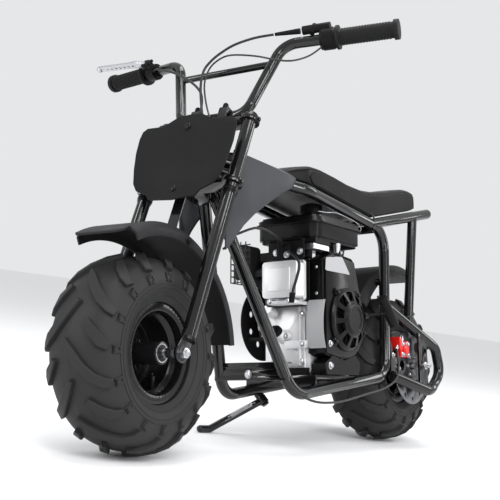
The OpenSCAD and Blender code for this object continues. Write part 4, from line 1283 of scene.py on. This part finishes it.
@dataclass
class Fittings:
    """Small parts on the frame, the cowl, the brake and the stand."""

    frames: Frames

    def build(self) -> None:
        """Adds every group of parts."""
        self._cowl_edge()
        self._fender_bolts()
        self._frame_bolts()
        self._brake()
        self._spring()
        log.info("fittings: cowl edge, bolts, brake parts and spring")

    def _cowl_edge(self) -> None:
        """Adds the cowl's dark rolled lower edge and its side screws."""
        lower = [(724, 470), (725, 381), (712, 391), (697, 410), (676, 434), (649, 458), (616, 482), (570, 513),
                 (540, 529), (529, 550)]
        lip = Shape()
        for side in (-1, 1):
            route = [(x, side * (92.0 - 38.0 * (x - 529) / 195 + 1.2), z) for x, z in lower[1:]]
            lip.tube(smooth_route(route, 4), 2.3, 10)
            lip.tube([(701, side * 59.5, 502), (701, side * 65.0, 502), (701, side * 66.5, 502)], [9.5, 9.5, 7.0], 28)
        place(lip, "cowl_edge", self.frames.bike, "fender_plastic", "frame")

    def _fender_bolts(self) -> None:
        """Adds the black bolt on each side of the front fender."""
        angle, middle_r, side_y = math.radians(106), 209.0, 66.8
        bolts = Shape()
        for side in (-1, 1):
            at = (middle_r * math.cos(angle), side * side_y, middle_r * math.sin(angle))
            bolts.bolt(at, (0, side, 0), 4.6, 3.6)
        place(bolts, "fender_bolts", self.frames.front_wheel, "engine_black", "steering", 0.4)

    def _frame_bolts(self) -> None:
        """Adds the bolts and weld beads that show on the frame."""
        bolts = Shape()
        bolts.bolt((562, -1.5, 148), (1, 0, 0), 6.0, 4.0)
        for at in ((92, 100.2, 170), (118, 100.2, 200)):
            bolts.bolt(at, (0, 1, 0), 4.6, 3.4)
        for at in ((285, -117, 320), (402, -117, 230)):
            bolts.bolt(at, (0, -1, 0), 5.0, 4.0)
        for side in (-1, 1):
            bolts.bolt((130, side * 68.0, 374), (0, -side, 0), 5.0, 3.0)
        place(bolts, "frame_bolts", self.frames.bike, "zinc_steel", "frame")
        beads = Shape()
        for at, way, r in self._welds():
            self._bead(beads, Vector(at), Vector(way).normalized(), r)
        place(beads, "weld_beads", self.frames.bike, "tube_black", "frame", sharp=60)

    @staticmethod
    def _welds() -> list[tuple[Point, Point, float]]:
        """Where tubes meet: the place, the way along the tube and its radius."""
        made = []
        for side, out in ((1, 102.0), (-1, 126.0)):
            made += [((137, side * 88, 318), (206, side * -33, 94), 12.5), ((38, side * out, 292), (-47, 0, 271), 11.5),
                     ((200, side * 88, 514), (-284, side * 12, 66), 12.5)]
        return made

    @staticmethod
    def _bead(shape: Shape, at: Vector, way: Vector, r: float) -> None:
        """Adds a rippled weld bead round a tube."""
        side = way.orthogonal().normalized()
        other = way.cross(side)
        count = 36
        ring = [at + (r + 0.2 + 0.3 * (k % 2)) * (math.cos(math.tau * k / count) * side
                                                   + math.sin(math.tau * k / count) * other) for k in range(count)]
        shape.tube([tuple(p) for p in ring], [2.2 if k % 2 else 1.7 for k in range(count)], 8, closed=True)

    def _brake(self) -> None:
        """Adds the caliper's bolts, bleed screw and hose union."""
        parts = Shape()
        for x, z in ((58, 228), (58, 203), (84, 228), (84, 203)):
            parts.bolt((x, 108, z), (0, 1, 0), 4.2, 3.6)
        parts.rod((70, 101, 236), (70, 101, 246), 3.6, 2.6, 12)
        parts.rod((94, 101, 222), (104, 101, 214), 5.0, 4.0, 16)
        place(parts, "caliper_bolts", self.frames.bike, "zinc_steel", "frame")
        cover = Shape()
        cover.rod((70, 111, 214), (70, 114.5, 214), 9.0, 7.5, 28)
        for k in range(6):
            cover.block((50, 107.5, 200 + 5.5 * k), (56, 110.0, 202.6 + 5.5 * k))
        place(cover, "caliper_face", self.frames.bike, "caliper_red", "frame", 0.6)

    def _spring(self) -> None:
        """Winds the stand's return spring, with a straight lead at each end."""
        start, end = Vector((409.64, -91.38, 90.59)), Vector((460.17, -128.17, 59.08))
        way = (end - start).normalized()
        side = way.orthogonal().normalized()
        other = way.cross(side)
        turns, steps, coil = 22, 14, 3.5
        body_from, body_to = 0.12, 0.88
        path = [start, start.lerp(end, 0.07)]
        for k in range(turns * steps + 1):
            t = body_from + (body_to - body_from) * k / (turns * steps)
            a = math.tau * k / steps
            path.append(start.lerp(end, t) + coil * (math.cos(a) * side + math.sin(a) * other))
        path += [start.lerp(end, 0.93), end]
        shape = Shape()
        shape.tube([tuple(p) for p in path], 0.85, 8)
        piece = place(shape, "stand_spring_coil", self.frames.bike, "zinc_steel", "side_stand", sharp=60)
        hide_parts("stand_spring")


# Studio


@dataclass
class Studio:
    """Floor, lights and camera.

    The camera was solved from the photograph in the frame of the upright bike, and it leans over
    with the bike, so the bike fills the picture as it does in the photograph.
    """

    frames: Frames
    eye: Point = (2212.5, 1165.3, 100.4)
    forward: Point = (-0.8084, -0.5696, 0.1485)
    right: Point = (-0.5760, 0.8175, 0.0)
    lens: float = 71.0

    def build(self) -> None:
        """Sets up everything round the bike."""
        self._camera()
        self._floor()
        bpy.context.scene.view_settings.view_transform = "Standard"
        self._light("key", (1.9, 2.4, 2.6), (0.05, 0.0, 0.35), (1.9, 1.3), 70)
        self._light("front_strip", (3.0, -1.4, 1.5), (0.2, 0.0, 0.4), (0.5, 1.9), 45)
        self._light("rear_strip", (-2.4, 1.9, 1.9), (-0.1, 0.0, 0.4), (0.6, 1.8), 26)
        self._light("side_strip", (0.3, 3.2, 1.2), (0.1, 0.0, 0.45), (0.2, 2.4), 36)
        self._light("top", (0.0, 0.0, 3.0), (0.0, 0.0, 0.3), (2.4, 1.2), 50)
        world = bpy.data.worlds.new("studio")
        bpy.context.scene.world = world
        world.use_nodes = True
        backdrop = world.node_tree.nodes["Background"]
        backdrop.inputs["Color"].default_value = (0.93, 0.94, 0.95, 1.0)
        backdrop.inputs["Strength"].default_value = 0.85
        log.info("studio: camera, floor and five soft lights")

    def _camera(self) -> None:
        """Places the camera where the photograph was taken from."""
        data = bpy.data.cameras.new("camera")
        data.lens = self.lens
        data.sensor_width = 36.0
        data.clip_end = 60.0
        camera = bpy.data.objects.new("camera", data)
        bpy.context.scene.collection.objects.link(camera)
        tilt = Matrix.Rotation(self.frames.lean, 3, "X")
        back = -(tilt @ Vector(self.forward)).normalized()
        side = (tilt @ Vector(self.right)).normalized()
        up = back.cross(side).normalized()
        side = up.cross(back)
        turn = Matrix((side, up, back)).transposed().to_4x4()
        camera.matrix_world = Matrix.Translation(self.frames.bike @ Vector(self.eye)) @ turn
        bpy.context.scene.camera = camera

    def _floor(self) -> None:
        """Lays the pale floor."""
        data = bpy.data.meshes.new("floor")
        half = 30.0
        data.from_pydata([(-half, -half, 0), (half, -half, 0), (half, half, 0), (-half, half, 0)], [], [(0, 1, 2, 3)])
        made = bpy.data.materials.new("floor")
        made.use_nodes = True
        shader = made.node_tree.nodes["Principled BSDF"]
        shader.inputs["Base Color"].default_value = (0.86, 0.86, 0.87, 1.0)
        shader.inputs["Roughness"].default_value = 0.75
        data.materials.append(made)
        floor = bpy.data.objects.new("floor", data)
        bpy.context.scene.collection.objects.link(floor)

    def _light(self, name: str, at: Point, towards: Point, size: tuple[float, float], power: float) -> None:
        """Adds a soft area light that faces a point."""
        data = bpy.data.lights.new(name, "AREA")
        data.shape = "RECTANGLE"
        data.size, data.size_y = size
        data.energy = power
        lamp = bpy.data.objects.new(name, data)
        lamp.location = at
        lamp.rotation_euler = (Vector(towards) - Vector(at)).to_track_quat("-Z", "Y").to_euler()
        bpy.context.scene.collection.objects.link(lamp)


# Construction nodes


@dataclass
class Dressing:
    """Gives every node of the construction its finish, and soft edges where it shows hard ones."""

    nodes: dict[str, bpy.types.Object]
    subparts: list[dict]
    edges: dict[str, float] = field(default_factory=lambda: {
        "crankcase": 2.0, "valve_cover": 2.2, "cylinder": 0.8, "fan_shroud": 2.5, "fuel_tank": 1.6, "fuel_cap": 0.8,
        "intake": 1.6, "muffler": 2.5, "cowl": 0.9, "rear_fender": 0.8, "front_fender": 0.8, "fork": 1.0,
        "bar_clamps": 2.0, "number_plate": 1.0, "brake_caliper": 1.6, "throttle_housing": 1.5, "engine_plate": 0.8,
        "cross_members": 0.8, "recoil_cover": 0.8, "recoil_handle": 2.0, "chain_guard": 0.6,
    })
    own: dict[str, str] = field(default_factory=lambda: {"number_plate": "plate_plastic"})

    def build(self) -> None:
        """Dresses all nodes."""
        for row in self.subparts:
            node = self.nodes[row["node"]]
            material = finish_of(self.own.get(row["node"], row["material_slot"]))
            if not node.material_slots:
                node.data.materials.append(material)
            for holder in node.material_slots:
                holder.material = material
            self._soften(node, self.edges.get(row["node"], 0.4))
        log.info("construction: %d nodes dressed", len(self.subparts))

    @staticmethod
    def _soften(node: bpy.types.Object, width: float) -> None:
        """Welds the node's facets and rounds its edges by a small width, in millimetres."""
        weld = node.modifiers.new("weld", "WELD")
        weld.merge_threshold = 0.00002
        node.data.shade_smooth()
        bevel = node.modifiers.new("edges", "BEVEL")
        bevel.width = width * MM
        bevel.segments = 2
        bevel.limit_method = "ANGLE"
        bevel.angle_limit = math.radians(38)
        bevel.harden_normals = True


def main() -> None:
    """Loads the frame and builds each sub-assembly in order."""
    logging.basicConfig(level=logging.INFO, format="%(message)s")
    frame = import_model()
    frames = Frames.from_joints(frame["joints"], Tyre().top)
    Studio(frames).build()
    Cables(frames).build()
    Dressing(frame["nodes"], frame["record"]["subparts"]).build()
    Wheels(frames).build()
    Chain(frames).build()
    Engine(frames).build()
    Controls(frames).build()
    Fittings(frames).build()
    Seat(frames).build()


if __name__ == "__main__":
    main()
